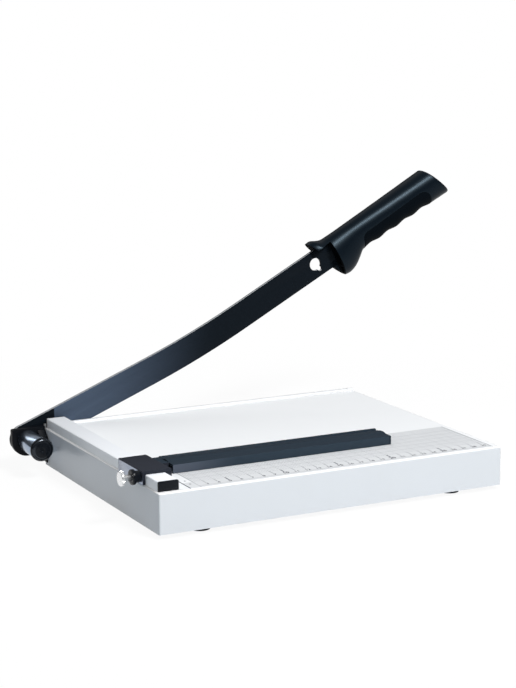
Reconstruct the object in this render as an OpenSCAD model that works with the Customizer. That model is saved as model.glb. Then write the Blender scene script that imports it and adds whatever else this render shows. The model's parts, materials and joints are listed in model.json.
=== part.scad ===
// Desk paper cutter: a folded steel base with a side fence, a sliding paper stop
// and a long blade that swings on a sprung pivot at the rear left corner.
// The sizes are laid out in a bench frame: X along the front wall to the right,
// Y towards the cutting edge, Z up from the desk, zero at the front left corner.
// The finished part is then set with its origin under the middle of its box.

/* [Base tray] */
// Length of the base along the cutting edge
base_l = 318; // [300:1:400]
// Depth of the base from the front wall to the rear wall
base_w = 250; // [215:1:320]
// Height of the folded walls
wall_h = 33.5; // [31:0.5:45]
// Sheet thickness of the tray
sheet_t = 1.2; // [0.8:0.1:1.6]
// Outer radius of the folded edges
bend_r = 1.5; // [1.5:0.1:4]
// Width of the bottom lips that carry the feet
lip_w = 28; // [26:1:40]

/* [Feet] */
// Radius of a rubber foot
foot_r = 9; // [7:0.5:10]
// Height of a rubber foot
foot_h = 4; // [3.5:0.5:8]
// Distance of the feet from the short walls
foot_end = 42; // [20:1:90]
// Distance of the feet from the long walls
foot_side = 16; // [14:0.5:17]
// Radius of the foot screws
foot_screw_r = 2; // [1.5:0.25:2.5]

/* [Fence] */
// Gap from the left wall to the fence
fence_inset = 1.7; // [1:0.1:4]
// Width of the fence rail
fence_w = 17.5; // [14:0.5:24]
// Height of the fence rail
fence_h = 8.2; // [7:0.1:11]
// Wall of the hollow fence rail
fence_wall = 1.5; // [1.2:0.1:2]
// Radius of the rail's upper edges
fence_edge_r = 1.2; // [0.8:0.1:1.5]
// Gap from the front wall to the front end cap
fence_front = 4.3; // [2:0.1:10]
// Thickness of the face of an end cap
cap_face = 2; // [1.5:0.1:3]
// Length of the plug of an end cap
cap_plug = 8; // [5:0.5:12]
// Radius of the fence screws
fence_screw_r = 1.75; // [1.5:0.25:2]

/* [Fixed blade] */
// Thickness of the fixed blade
fixed_t = 4; // [3:0.5:5]
// Height of the fixed blade
fixed_h = 18; // [17:0.5:22]
// Rise of the cutting edge above the table
fixed_rise = 2.2; // [1.2:0.1:3]
// Number of screws in the fixed blade
fixed_screws = 5; // [3:1:7]
// Radius of the fixed blade's screws
fixed_screw_r = 2; // [1.5:0.25:2]

/* [Pivot] */
// Distance of the pivot axis outside the left wall
pivot_out = 17.3; // [16.5:0.1:22]
// Depth of the pivot axis below the table
pivot_drop = 9.6; // [8:0.1:12]
// Radius of the pivot bolt
bolt_r = 4; // [3:0.5:4.5]
// Radius of the round end of the bracket
lobe_r = 13.7; // [13.2:0.1:15.5]
// Thickness of the bracket's round end
lobe_t = 7; // [7:0.5:10]
// Thickness of the plate at the bracket's round end
lobe_plate_t = 5; // [4:0.5:6]
// Radius of the hub between that plate and the blade
hub_r = 11; // [8:0.5:12]
// Outer radius of the spring tube
tube_r = 9.5; // [9:0.1:9.5]
// Wall of the spring tube
tube_wall = 1.3; // [0.8:0.1:1.5]
// Length of the spring tube
tube_l = 36.5; // [30:0.5:45]
// Radius of the tube's end cap
tube_cap_r = 10.4; // [9.9:0.1:11]
// Depth of the tube's end cap along the axis
tube_cap_l = 3.5; // [3:0.5:6]
// Wire radius of the pressure spring
wire_r = 0.9; // [0.6:0.1:1]
// Number of turns of the pressure spring
spring_turns = 6; // [4:1:7]
// Radius of the stop pin
stop_pin_r = 2; // [1.5:0.25:2]
// Angle of the blade above level as it stands open
rest_angle = 21.7; // [10:0.1:30]
// Angle that the blade can be raised further
raise_angle = 50; // [30:1:55]

/* [Moving blade] */
// Thickness of the blade
blade_t = 3; // [2:0.25:4]
// Width of the blade
blade_w = 25.6; // [22:0.1:28]
// Radius of the blade's round end at the pivot
tang_r = 13; // [12.9:0.1:15]
// Straight length from the pivot to the bend
bend_start = 131; // [100:1:150]
// Radius of the gentle bend
sweep_r = 900; // [700:10:1200]
// Angle of the gentle bend
sweep_angle = 6.6; // [4:0.1:7.5]
// Width of the ground bevel
bevel_w = 6; // [3:0.5:8]
// Thickness left at the cutting edge
edge_t = 0.6; // [0.4:0.1:1]
// Radius of the lock hole
lock_r = 6; // [4:0.5:7]
// Distance of the lock hole in front of the handle
lock_back = 21; // [18:0.5:26]
// Width of the tang inside the handle
grip_tang_w = 16; // [12:0.5:18]
// Length of the tang inside the handle
grip_tang_l = 74; // [70:1:90]

/* [Handle] */
// Gap from the right wall to the closed handle
handle_gap = 9.4; // [5:0.1:15]
// Length of the handle behind its near rim, along the top
handle_l = 121; // [118:1:130]
// How far the guard reaches over the blade in front of the near rim
guard_reach = 19.5; // [14:0.5:19.5]
// Roundness of the handle's section, 2 is an ellipse
handle_round = 2.3; // [2:0.1:3]
// Slant of the guard's front and of the butt end
end_slant = 0.45; // [0.2:0.01:0.6]
// Depth of the hollow in the guard
guard_hollow = 16; // [8:0.5:20]
// Wall of the guard
guard_wall = 2.4; // [1.8:0.1:3]
// Start of the finger grip behind the near rim
grip_start = 28; // [26:0.5:32]
// Length of the finger grip
grip_l = 84; // [74:1:86]
// Thickness of the finger grip
grip_t = 2.2; // [1.5:0.1:2.6]
// Number of finger waves
wave_count = 4; // [3:1:6]
// Depth of a finger wave
wave_h = 1.5; // [0.5:0.1:2]
// Radius of the handle screws
handle_screw_r = 2; // [1.5:0.25:2.25]

/* [Paper stop] */
// Distance of the slider behind the front wall
slider_front = 29; // [20:0.5:60]
// Length of the slider along the fence
slider_l = 49; // [44:0.5:70]
// Thickness of the slider above the fence
slider_web = 2.6; // [2:0.1:4]
// Thickness of the slider's outer cheek
cheek_out = 2.4; // [2:0.1:3]
// Thickness of the slider's inner cheek
cheek_in = 4.8; // [3:0.1:7]
// Depth of the stop bar
bar_w = 28; // [27:0.5:36]
// Height of the stop bar at its front face
bar_h = 7.4; // [6:0.1:9]
// Rise of the ridge along the stop bar
bar_ridge = 1.1; // [1:0.1:2]
// Length of the stop bar
bar_l = 204; // [150:1:240]
// Gap between the slider and the stop bar
bar_gap = 10.5; // [6:0.5:14]
// Wall of the stop bar
bar_wall = 2; // [1.5:0.1:2.5]
// Length of the slider's tongue inside the bar
tongue_l = 26; // [22:1:40]
// Width of the slider's tongue
tongue_w = 18; // [12:0.5:22]
// Radius of the stop bar's screws
bar_screw_r = 1.5; // [1.25:0.25:1.5]

/* [Thumb screw] */
// Radius of the screw's thread
thumb_r = 2.5; // [2:0.25:2.5]
// Radius of the screw's head
thumb_head_r = 6.3; // [5:0.1:7]
// Thickness of the screw's head
thumb_head_t = 3.1; // [2:0.1:5]
// Bare length between the collar and the head
thumb_neck = 6.6; // [3:0.1:10]
// Height of the screw's axis above the table
thumb_up = 6; // [5:0.1:6.2]
// Distance of the screw behind the slider's front
thumb_back = 6.5; // [6.5:0.1:20]
// Radius of the collar's boss
collar_r = 4.8; // [4.4:0.1:5]
// Length of the collar's boss
collar_l = 4.4; // [3:0.1:8]
// Radius of the collar's flange
collar_flange_r = 6.3; // [5.5:0.1:7]
// Thickness of the collar's flange
collar_flange_t = 2.9; // [1.5:0.1:4]
// Thickness of the swivel pad
pad_t = 1.2; // [0.8:0.1:1.4]

/* [Clearances] */
// Radial running clearance of the blade on its bolt
run_gap = 0.05; // [0.02:0.01:0.1]
// Clearance of pieces that are fitted and stay put
fit_gap = 0.1; // [0.05:0.01:0.15]
// Clearance of faces that slide past each other
slide_gap = 0.25; // [0.2:0.01:0.3]
// Clearance of the paper stop above the table
table_gap = 0.3; // [0.2:0.05:0.5]

/* [Hidden] */
$fn = 64;

// Overshoot of a cut past the face that it opens
over = 1;

// Levels of the base
tray_z = foot_h;
table_z = tray_z + wall_h;
lip_z = tray_z + sheet_t;
bend_in = max(bend_r - sheet_t, 0.3);

// Feet and their fasteners
foot_xs = [foot_end, base_l - foot_end];
foot_ys = [foot_side, base_w - foot_side];
foot_taper = 0.6;
foot_head_r = foot_screw_r + 1.6;
foot_head_h = 1.4;
foot_recess = 1.9;
foot_nut_h = 2.6;
foot_nut_r = foot_screw_r + 1.9;
foot_screw_end = lip_z + foot_nut_h + 1;

// Fence rail along the left wall
fence_x = fence_inset;
fence_mid = fence_x + fence_w / 2;
fence_y0 = fence_front + cap_face;
fence_y1 = base_w - 0.5 - cap_face;
fence_top = table_z + fence_h;
fence_screw_end = 20;
fence_screw_ys = [fence_y0 + fence_screw_end, (fence_y0 + fence_y1) / 2, fence_y1 - fence_screw_end];
fence_head_r = fence_screw_r + 1.6;
fence_head_h = 2;

// Fixed blade on the rear wall
fixed_y = base_w;
cut_y = fixed_y + fixed_t;
fixed_bottom = table_z + fixed_rise - fixed_h;
fixed_end = 1;
fixed_bevel = 1.4;
fixed_head_r = fixed_screw_r + 1.9;
fixed_screw_z = fixed_bottom + 6;
fixed_screw_margin = 24;
fixed_screw_l = fixed_t + sheet_t + 4;

// Pivot axis and the layers along it
pivot_x = -pivot_out;
pivot_z = table_z - pivot_drop;
lobe_y = cut_y - lobe_t;
blade_y = cut_y + slide_gap;
blade_mid_y = blade_y + blade_t / 2;
washer_r = 2 * bolt_r;
washer_t = 1.2;
washer_y = blade_y + blade_t + fit_gap;
bolt_head_y = washer_y + washer_t + fit_gap / 2;
bolt_head_h = 4.6;
bolt_head_r = bolt_r + 3.4;
tube_y = lobe_y - tube_l;
tube_in_r = tube_r - tube_wall;
tube_cap_face = 2.5;
cap_y = tube_y - tube_cap_face;
nut_h = 6;
nut_r = min(bolt_r + 3.4, tube_in_r - 3 * fit_gap);
nut_y = tube_y + 4;
bolt_end_y = nut_y - 2;
cap_plug_l = bolt_end_y - tube_y - 4 * fit_gap;
thrust_r = tube_in_r - 2 * fit_gap;
thrust_y = nut_y + nut_h + fit_gap / 2;
spring_y0 = thrust_y + washer_t + fit_gap;
spring_y1 = lobe_y - fit_gap;
spring_r = (bolt_r + tube_in_r) / 2;

// Bracket: block beside the tube, and a heel that reaches in behind the rear wall
ridge_up = 1.5;
ridge_z = table_z + ridge_up;
lobe_corner_r = 1.6;
block_x0 = pivot_x + tube_r + 2 * slide_gap;
block_x1 = -0.4;
block_ahead = 8;
block_front = lobe_y - block_ahead;
block_under = 2;
block_low = pivot_z - tube_r - block_under;
slope_top = table_z - 1.5;
slope_low = slope_top - 7;
web_up = 4;
web_low = pivot_z - lobe_r + web_up;
heel_x1 = 44;
heel_y1 = base_w - sheet_t - fit_gap;
heel_y0 = heel_y1 - 5;
heel_z0 = lip_z + 2;
heel_z1 = fixed_bottom + 3;
notch_gap = 1;
bracket_screw_end = 8;
bracket_screw_xs = [bend_r + bracket_screw_end + 2, heel_x1 - bracket_screw_end];
bracket_screw_r = 2.25;
bracket_screw_z = (heel_z0 + fixed_bottom) / 2;
bracket_head_r = 3.6;
bracket_head_h = 2.2;
bracket_screw_l = 5.5;

// Stop pin below the pivot, in an open notch of the blade's round end
pin_ring = 10.2;
pin_play = 0.35;
pin_sweep = asin((stop_pin_r + pin_play) / pin_ring);
notch_from = 270 - rest_angle - raise_angle - pin_sweep;
notch_to = 270 + pin_sweep;
pin_seat = lobe_t - 1;

// Bend of the moving blade, in the blade's own frame with the pivot at zero
sweep_u = bend_start + sweep_r * sin(sweep_angle);
sweep_v = sweep_r * (1 - cos(sweep_angle));
near_w = (base_l - pivot_x + handle_gap - sweep_u) / cos(sweep_angle);
lock_notch_r = 2.2;
handle_screw_hs = [44, 62];

// Paper stop
saddle_x0 = fence_x - slide_gap - cheek_out;
saddle_x1 = fence_x + fence_w + slide_gap + cheek_in;
saddle_z = table_z + table_gap;
saddle_in_z = fence_top + slide_gap;
saddle_top = saddle_in_z + slider_web;
saddle_edge_r = 1;
saddle_back = slider_front + slider_l;
bar_x0 = saddle_x1 + bar_gap;
bar_x1 = bar_x0 + bar_l;
bar_y1 = saddle_back - 0.5;
bar_y0 = bar_y1 - bar_w;
bar_z = saddle_z;
bar_roof = bar_h - 1.8;
bar_edge = 0.3;
ridge_half = 6.7;
ridge_mid = 15;
ridge_r = (ridge_half * ridge_half + bar_ridge * bar_ridge) / (2 * bar_ridge);
back_lip_w = 3;
back_lip_h = 0.7;
back_groove_w = 2;
back_groove_d = 0.5;
tongue_y1 = bar_y1 - bar_wall - fit_gap;
tongue_y0 = tongue_y1 - tongue_w;
tongue_mid = (tongue_y0 + tongue_y1) / 2;
tongue_h = bar_roof - fit_gap;
bar_screw_xs = [bar_x0 + 7, bar_x0 + tongue_l - 7];
bar_head_r = bar_screw_r + 1.4;
bar_head_h = 1.4;
bar_head_up = 0.4;
bar_bite = 1.4;
bar_plug_face = 2;
bar_plug_l = 8;

// Thumb screw on the slider's outer cheek
thumb_y = slider_front + thumb_back;
thumb_z = table_z + thumb_up;
collar_spigot_r = thumb_r + 1.2;
collar_spigot_l = cheek_out - 0.6;
pad_r = thumb_r - 0.3;
pad_pin_r = 1;
pad_pin_l = 2.4;
pad_x1 = fence_x - fit_gap;
pad_x0 = pad_x1 - pad_t;
thumb_tip = pad_x0 - fit_gap / 2;
collar_x0 = saddle_x0 - collar_l - collar_flange_t;
thumb_head_x = collar_x0 - thumb_neck;
thumb_chamfer = 0.7;

// Handle sections: distance behind the near rim, top, bottom and half width
handle_rows = [
    [-19.5, 21.4, -25.8, 13.4],
    [-14.5, 21.4, -26.2, 13.9],
    [-9, 18.4, -26.3, 14],
    [-4, 16.4, -26, 13.8],
    [4, 16.1, -24.8, 13.2],
    [12, 16.1, -22.4, 12.6],
    [20, 16.2, -18.8, 12.2],
    [28, 16.3, -14.6, 12],
    [36, 16.4, -14.2, 12],
    [66, 16.8, -14.2, 12.8],
    [106, 17.5, -14.4, 13.9],
    [121, 17.8, -14.9, 14.4],
    [131, 18, -15, 14.6]
];
guard_front = handle_rows[0][0];
grip_end = grip_start + grip_l;
grip_edge = 0.3;
ring_step = 4;
wave_steps = 6;
half_turn = [90, 75, 60, 45, 30, 15, grip_edge, -grip_edge, -15, -30, -45, -60, -75, -90];
grip_turn = [-0.9, -15, -30, -45, -60, -75, -90, -105, -120, -135, -150, -165, -179.1];
step = 0.04;
grip_play = 0.15;
roof_z = blade_w / 2 + 0.4;
rib_z = -blade_w / 2 - 1.3;
rib_t = 2;
web_t = 2;
screw_seat = 6.5;
screw_reach = 7;
handle_head_r = handle_screw_r + 1.6;
handle_head_h = 2.4;

// Row of a table that holds a given distance
function row_of(rows, h, i = 0) =
    i >= len(rows) - 2 || h < rows[i + 1][0] ? i : row_of(rows, h, i + 1);

// Slope of one column of a table at a row
function row_slope(rows, i, c) =
    let (a = max(i - 1, 0), b = min(i + 1, len(rows) - 1))
    (rows[b][c] - rows[a][c]) / (rows[b][0] - rows[a][0]);

// Smooth value of one column of a table at a distance
function smooth_at(rows, h, c) =
    let (i = row_of(rows, h), d = rows[i + 1][0] - rows[i][0], f = (h - rows[i][0]) / d)
    rows[i][c] * (2 * f * f * f - 3 * f * f + 1)
    + row_slope(rows, i, c) * d * (f * f * f - 2 * f * f + f)
    + rows[i + 1][c] * (3 * f * f - 2 * f * f * f)
    + row_slope(rows, i + 1, c) * d * (f * f * f - f * f);

// Lift of the underside at a finger wave
function finger_wave(h) =
    h < grip_start || h > grip_end ? 0 :
    wave_h * (1 - cos(360 * wave_count * (h - grip_start) / grip_l)) / 2;

// Signed power for the rounded section
function round_to(x) = sign(x) * pow(abs(x), 2 / handle_round);

// Slant of the ring at a distance: full at both ends, none along the finger grip
function lean_at(h) =
    h < grip_start ? end_slant * (grip_start - h) / (grip_start - guard_front) :
    h < grip_end ? 0 : end_slant * (h - grip_end) / (handle_l - grip_end);

// Point on the handle's section at a distance, an angle and an inset from the skin
function skin(h, angle, inset) =
    let (
        top = smooth_at(handle_rows, h, 1),
        low = smooth_at(handle_rows, h, 2) + finger_wave(h),
        half = smooth_at(handle_rows, h, 3),
        z = (top + low) / 2 + ((top - low) / 2 - inset) * round_to(sin(angle)),
        y = (half - inset) * round_to(cos(angle))
    )
    [h + lean_at(h) * (top - z), y, z];

// Distances of the rings along the finger grip, kept off its ends by a margin
function grip_list(margin) = [
    for (k = [0 : wave_steps * wave_count])
    grip_start + margin + k * (grip_l - 2 * margin) / (wave_steps * wave_count)
];

// Distances of the handle's rings, doubled at both ends of the finger grip
ring_list = concat(
    [for (h = [-guard_reach : ring_step : grip_start - 1]) h],
    [grip_start - step],
    grip_list(step),
    [grip_end + step, (grip_end + handle_l) / 2, handle_l]
);

// Inset of a half at a ring and an angle: deeper where the finger grip lies
function seat_of(h, angle) = angle < 0 && h > grip_start && h < grip_end ? grip_t : 0;

// Extent of the whole cutter in the bench frame
arm_angle = rest_angle + sweep_angle;
butt_xs = [
    for (a = half_turn)
    let (p = skin(handle_l, a, 0))
    pivot_x + sweep_u * cos(rest_angle) - sweep_v * sin(rest_angle)
    + (near_w + p[0]) * cos(arm_angle) - p[2] * sin(arm_angle)
];
half_ws = [for (h = ring_list) skin(h, grip_edge, 0)[1]];
x_min = pivot_x - max(lobe_r, tang_r);
x_max = max(butt_xs);
y_max = blade_mid_y + max(half_ws);
origin = [(x_min + x_max) / 2, y_max / 2, 0];

// From the bench frame to the part's own origin
module part_frame() {
    translate(-origin) children();
}

// The blade's frame: zero on the pivot axis, X along the straight by the pivot
module blade_frame() {
    translate([pivot_x, 0, pivot_z]) rotate([0, -rest_angle, 0]) children();
}

// The handle's frame: zero at the near rim on the middle of the blade
module handle_frame() {
    blade_frame()
        translate([sweep_u, blade_mid_y, sweep_v])
            rotate([0, -sweep_angle, 0])
                translate([near_w, 0, 0]) children();
}

// Turns a shape that stands along Z to lie along X
module along_x(x, y, z) {
    translate([x, y, z]) rotate([0, 90, 0]) children();
}

// Turns a shape that stands along Z to lie along Y
module along_y(x, y, z) {
    translate([x, y, z]) rotate([-90, 0, 0]) children();
}

// Flat ring
module ring(outer, inner, height) {
    difference() {
        cylinder(r = outer, h = height);
        translate([0, 0, -over]) cylinder(r = inner, h = height + 2 * over);
    }
}

// Block with round upright corners and round upper edges
module folded_block(l, w, h, r) {
    translate([r, 0, 0]) cube([l - 2 * r, w, h - r]);
    translate([0, r, 0]) cube([l, w - 2 * r, h - r]);
    translate([r, r, 0]) cube([l - 2 * r, w - 2 * r, h]);
    for (x = [r, l - r], y = [r, w - r]) {
        translate([x, y, 0]) cylinder(r = r, h = h - r);
        translate([x, y, h - r]) sphere(r = r);
    }
    for (y = [r, w - r]) along_x(r, y, h - r) cylinder(r = r, h = l - 2 * r);
    for (x = [r, l - r]) along_y(x, r, h - r) cylinder(r = r, h = w - 2 * r);
}

// Screw with a flat round head below zero and a shank above it
module flat_screw(r, length, head_r, head_h) {
    cylinder(r = r, h = length);
    translate([0, 0, -head_h]) cylinder(r = head_r, h = head_h);
}

// Screw with a sunk head whose flat lies at zero and a shank above it
module sunk_screw(r, length, head_r) {
    cylinder(r = r, h = length);
    cylinder(r1 = head_r, r2 = r, h = head_r - r);
}

// Solid skinned over a list of rings with the same number of points
module skinned(rings) {
    n = len(rings[0]);
    last = len(rings) - 1;
    points = [for (r = rings, p = r) p];
    sides = [
        for (i = [0 : last - 1], j = [0 : n - 1])
        let (a = i * n + j, b = i * n + (j + 1) % n)
        each [[a, b, b + n], [a, b + n, a + n]]
    ];
    ends = [[for (j = [n - 1 : -1 : 0]) j], [for (j = [0 : n - 1]) last * n + j]];
    polyhedron(points, concat(sides, ends));
}

// Places of the feet on the lips
module at_feet() {
    for (x = foot_xs, y = foot_ys) translate([x, y, 0]) children();
}

// Places of the fixed blade's screws, pointing in through the rear wall
module at_fixed_screws() {
    span = base_l - 2 * fixed_screw_margin;
    for (i = [0 : fixed_screws - 1]) {
        x = fixed_screw_margin + i * span / (fixed_screws - 1);
        translate([x, cut_y, fixed_screw_z]) rotate([90, 0, 0]) children();
    }
}

// Places of the bracket's screws, pointing in through the rear wall
module at_bracket_screws() {
    for (x = bracket_screw_xs) translate([x, base_w, bracket_screw_z]) rotate([90, 0, 0]) children();
}

// Opening in the corner of the tray where the bracket's heel goes in
module wall_notch() {
    translate([-over, heel_y0 - notch_gap, heel_z0 - notch_gap])
        cube([
            sheet_t + bend_in + over,
            base_w + over - heel_y0 + notch_gap,
            heel_z1 - heel_z0 + 2 * notch_gap
        ]);
}

// Folded steel tray: table, four walls and two bottom lips
module base_tray() {
    color("gainsboro") difference() {
        union() {
            difference() {
                translate([0, 0, tray_z]) folded_block(base_l, base_w, wall_h, bend_r);
                translate([sheet_t, sheet_t, tray_z - over])
                    folded_block(base_l - 2 * sheet_t, base_w - 2 * sheet_t,
                        wall_h - sheet_t + over, bend_in);
            }
            for (y = [sheet_t / 2, base_w - lip_w])
                translate([bend_r, y, tray_z]) cube([base_l - 2 * bend_r, lip_w - sheet_t / 2, sheet_t]);
        }
        at_feet() translate([0, 0, tray_z - over])
            cylinder(r = foot_screw_r + fit_gap, h = sheet_t + 2 * over);
        for (y = fence_screw_ys) translate([fence_mid, y, table_z - sheet_t - over])
            cylinder(r = fence_screw_r + fit_gap, h = sheet_t + 2 * over);
        at_fixed_screws() cylinder(r = fixed_screw_r + fit_gap, h = fixed_screw_l + over);
        at_bracket_screws() translate([0, 0, -over])
            cylinder(r = bracket_screw_r + fit_gap, h = sheet_t + 2 * over);
        wall_notch();
    }
}

// Four rubber feet, recessed for their screws
module rubber_feet() {
    color("dimgray") at_feet() difference() {
        cylinder(r1 = foot_r - foot_taper, r2 = foot_r, h = foot_h);
        translate([0, 0, -over]) cylinder(r = foot_head_r + 2 * fit_gap, h = foot_recess + over);
        cylinder(r = foot_screw_r + fit_gap, h = foot_h + over);
    }
}

// Four screws up through the feet and the lips
module foot_screws() {
    color("silver") at_feet() translate([0, 0, foot_recess])
        flat_screw(foot_screw_r, foot_screw_end - foot_recess, foot_head_r, foot_head_h);
}

// Four hexagon nuts on the lips
module foot_nuts() {
    color("silver") at_feet() translate([0, 0, lip_z]) difference() {
        cylinder(r = foot_nut_r, h = foot_nut_h, $fn = 6);
        translate([0, 0, -over]) cylinder(r = foot_screw_r + fit_gap / 2, h = foot_nut_h + 2 * over);
    }
}

// Outline of the fence rail, with round upper edges
module fence_outline() {
    r = fence_edge_r;
    square([fence_w, fence_h - r]);
    translate([r, 0]) square([fence_w - 2 * r, fence_h]);
    for (x = [r, fence_w - r]) translate([x, fence_h - r]) circle(r = r);
}

// Hollow of the fence rail, drawn smaller by a clearance
module fence_hollow(gap) {
    translate([fence_wall + gap, fence_wall + gap])
        square([fence_w - 2 * fence_wall - 2 * gap, fence_h - 2 * fence_wall - 2 * gap]);
}

// Sets a fence outline upright and runs it from one Y to another
module fence_run(from, to) {
    translate([fence_x, to, table_z]) rotate([90, 0, 0]) linear_extrude(to - from) children();
}

// Hollow rail screwed down along the left edge of the table
module fence_rail() {
    color("whitesmoke") difference() {
        fence_run(fence_y0, fence_y1) difference() {
            fence_outline();
            fence_hollow(0);
        }
        for (y = fence_screw_ys) translate([fence_mid, y, table_z - over])
            cylinder(r = fence_screw_r + fit_gap / 2, h = fence_wall + 2 * over);
    }
}

// Plug that closes the front end of the rail
module fence_cap_front() {
    color("black") {
        fence_run(fence_front, fence_y0) fence_outline();
        fence_run(fence_y0, fence_y0 + cap_plug) fence_hollow(fit_gap);
    }
}

// Plug that closes the rear end of the rail
module fence_cap_rear() {
    color("black") {
        fence_run(fence_y1, fence_y1 + cap_face) fence_outline();
        fence_run(fence_y1 - cap_plug, fence_y1) fence_hollow(fit_gap);
    }
}

// Three screws up through the table into the rail
module fence_screws() {
    color("silver") for (y = fence_screw_ys) translate([fence_mid, y, table_z - sheet_t])
        flat_screw(fence_screw_r, sheet_t + fence_wall + 1.5, fence_head_r, fence_head_h);
}

// Steel strip on the rear wall, its upper rear edge cuts
module fixed_blade() {
    top = fixed_rise;
    low = fixed_rise - fixed_h;
    color("silver") difference() {
        translate([fixed_end, fixed_y, table_z])
            rotate([90, 0, 90])
                linear_extrude(base_l - 2 * fixed_end)
                    polygon([
                        [0, low], [fixed_t, low], [fixed_t, top],
                        [fixed_bevel, top], [0, top - fixed_bevel]
                    ]);
        at_fixed_screws() {
            translate([0, 0, -over]) cylinder(r = fixed_screw_r + fit_gap, h = fixed_t + 2 * over);
            cylinder(r1 = fixed_head_r + fit_gap, r2 = fixed_screw_r + fit_gap,
                h = fixed_head_r - fixed_screw_r);
        }
    }
}

// Sunk screws that hold the fixed blade, flush with its face
module fixed_blade_screws() {
    color("silver") at_fixed_screws() sunk_screw(fixed_screw_r, fixed_screw_l, fixed_head_r);
}

// Outline of the bracket's round end, with a flat top and a square outer corner
module lobe_outline() {
    rise = ridge_z - pivot_z;
    intersection() {
        hull() {
            circle(r = lobe_r);
            translate([lobe_corner_r - lobe_r, rise - lobe_corner_r]) circle(r = lobe_corner_r);
        }
        translate([-2 * lobe_r, rise - 4 * lobe_r]) square(4 * lobe_r);
    }
}

// Cast bracket: round plate on a hub, side block and a heel behind the rear wall
module pivot_bracket() {
    color("black") difference() {
        union() {
            translate([pivot_x, lobe_y + lobe_plate_t, pivot_z])
                rotate([90, 0, 0]) linear_extrude(lobe_plate_t) lobe_outline();
            along_y(pivot_x, lobe_y, pivot_z) cylinder(r = hub_r, h = lobe_t);
            translate([pivot_x, lobe_y, web_low])
                cube([block_x1 - pivot_x, lobe_t, ridge_z - web_low]);
            translate([block_x0, 0, 0])
                rotate([90, 0, 90])
                    linear_extrude(block_x1 - block_x0)
                        polygon([
                            [cut_y, block_low], [cut_y, ridge_z], [lobe_y, ridge_z], [lobe_y, slope_top],
                            [block_front, slope_low], [block_front, block_low]
                        ]);
            translate([block_x1 - over, heel_y0, heel_z0])
                cube([heel_x1 - block_x1 + over, heel_y1 - heel_y0, heel_z1 - heel_z0]);
        }
        along_y(pivot_x, lobe_y - over, pivot_z) cylinder(r = bolt_r + fit_gap, h = lobe_t + 2 * over);
        along_y(pivot_x, cut_y - pin_seat, pivot_z - pin_ring)
            cylinder(r = stop_pin_r + fit_gap / 2, h = pin_seat + over);
        at_bracket_screws()
            cylinder(r = bracket_screw_r + fit_gap / 2, h = bracket_screw_l + sheet_t + over);
    }
}

// Screws through the rear wall into the bracket's heel
module bracket_screws() {
    color("silver") at_bracket_screws()
        flat_screw(bracket_screw_r, bracket_screw_l + sheet_t, bracket_head_r, bracket_head_h);
}

// Pin that stops the blade at both ends of its swing
module stop_pin() {
    color("silver") along_y(pivot_x, cut_y - pin_seat, pivot_z - pin_ring)
        cylinder(r = stop_pin_r, h = pin_seat + slide_gap + blade_t);
}

// Bolt that the blade turns on, its hexagon head behind the blade
module pivot_bolt() {
    color("silver") {
        along_y(pivot_x, bolt_end_y, pivot_z) cylinder(r = bolt_r, h = bolt_head_y - bolt_end_y);
        along_y(pivot_x, bolt_head_y, pivot_z) cylinder(r = bolt_head_r, h = bolt_head_h, $fn = 6);
    }
}

// Washer between the blade and the bolt's head
module blade_washer() {
    color("silver") along_y(pivot_x, washer_y, pivot_z) ring(washer_r, bolt_r + fit_gap, washer_t);
}

// Polished tube around the pressure spring
module spring_tube() {
    color("lightsteelblue") along_y(pivot_x, tube_y, pivot_z) ring(tube_r, tube_in_r, tube_l);
}

// Black cap on the front end of the tube, with a short plug inside it
module tube_cap() {
    rim = 1;
    dimple = 1.6;
    color("black") along_y(pivot_x, cap_y, pivot_z) difference() {
        union() {
            difference() {
                rotate_extrude() polygon([
                    [0, 0], [tube_cap_r - 2 * rim, 0], [tube_cap_r - rim, rim / 2],
                    [tube_cap_r, 2 * rim], [tube_cap_r, tube_cap_l], [0, tube_cap_l]
                ]);
                translate([0, 0, tube_cap_face]) cylinder(r = tube_r + fit_gap / 2, h = tube_cap_l);
            }
            cylinder(r = tube_in_r - fit_gap, h = tube_cap_face + cap_plug_l);
        }
        translate([0, 0, -dimple / 2]) cylinder(r1 = dimple, r2 = dimple / 2, h = dimple);
    }
}

// Coil spring on the bolt, pressing the blade against the fixed edge
module pressure_spring() {
    sides = 8;
    rings = 12 * spring_turns;
    rise = spring_y1 - spring_y0 - 2 * wire_r;
    color("silver") along_y(pivot_x, spring_y0 + wire_r, pivot_z) skinned([
        for (i = [0 : rings])
        let (a = 360 * spring_turns * i / rings)
        [for (j = [0 : sides - 1])
            let (b = 360 * j / sides, r = spring_r + wire_r * cos(b))
            [r * cos(a), r * sin(a), rise * i / rings + wire_r * sin(b)]]
    ]);
}

// Washer that the spring pushes on
module thrust_washer() {
    color("silver") along_y(pivot_x, thrust_y, pivot_z) ring(thrust_r, bolt_r + fit_gap, washer_t);
}

// Nut that sets the spring's load
module lock_nut() {
    color("silver") along_y(pivot_x, nut_y, pivot_z) difference() {
        cylinder(r = nut_r, h = nut_h, $fn = 6);
        translate([0, 0, -over]) cylinder(r = bolt_r + fit_gap / 2, h = nut_h + 2 * over);
    }
}

// Section of the blade: thickness across, width upright, ground on the outer face
blade_section = [
    [0, -blade_w / 2], [edge_t, -blade_w / 2], [blade_t, bevel_w - blade_w / 2],
    [blade_t, blade_w / 2], [0, blade_w / 2]
];

// Straight length of blade along X
module blade_bar(length) {
    rotate([90, 0, 90]) linear_extrude(length) polygon(blade_section);
}

// Curved length of blade that leaves along X and bends upwards
module blade_sweep() {
    translate([0, 0, sweep_r]) rotate([0, 90, 0]) rotate([90, 0, 0])
        rotate_extrude(angle = sweep_angle, $fn = 360)
            polygon([for (p = blade_section) [sweep_r - p[1], -p[0]]]);
}

// Core that runs across the joint between two lengths of blade
module blade_core() {
    translate([-over, blade_t / 4, -blade_w / 4]) cube([2 * over, blade_t / 2, blade_w / 2]);
}

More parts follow.
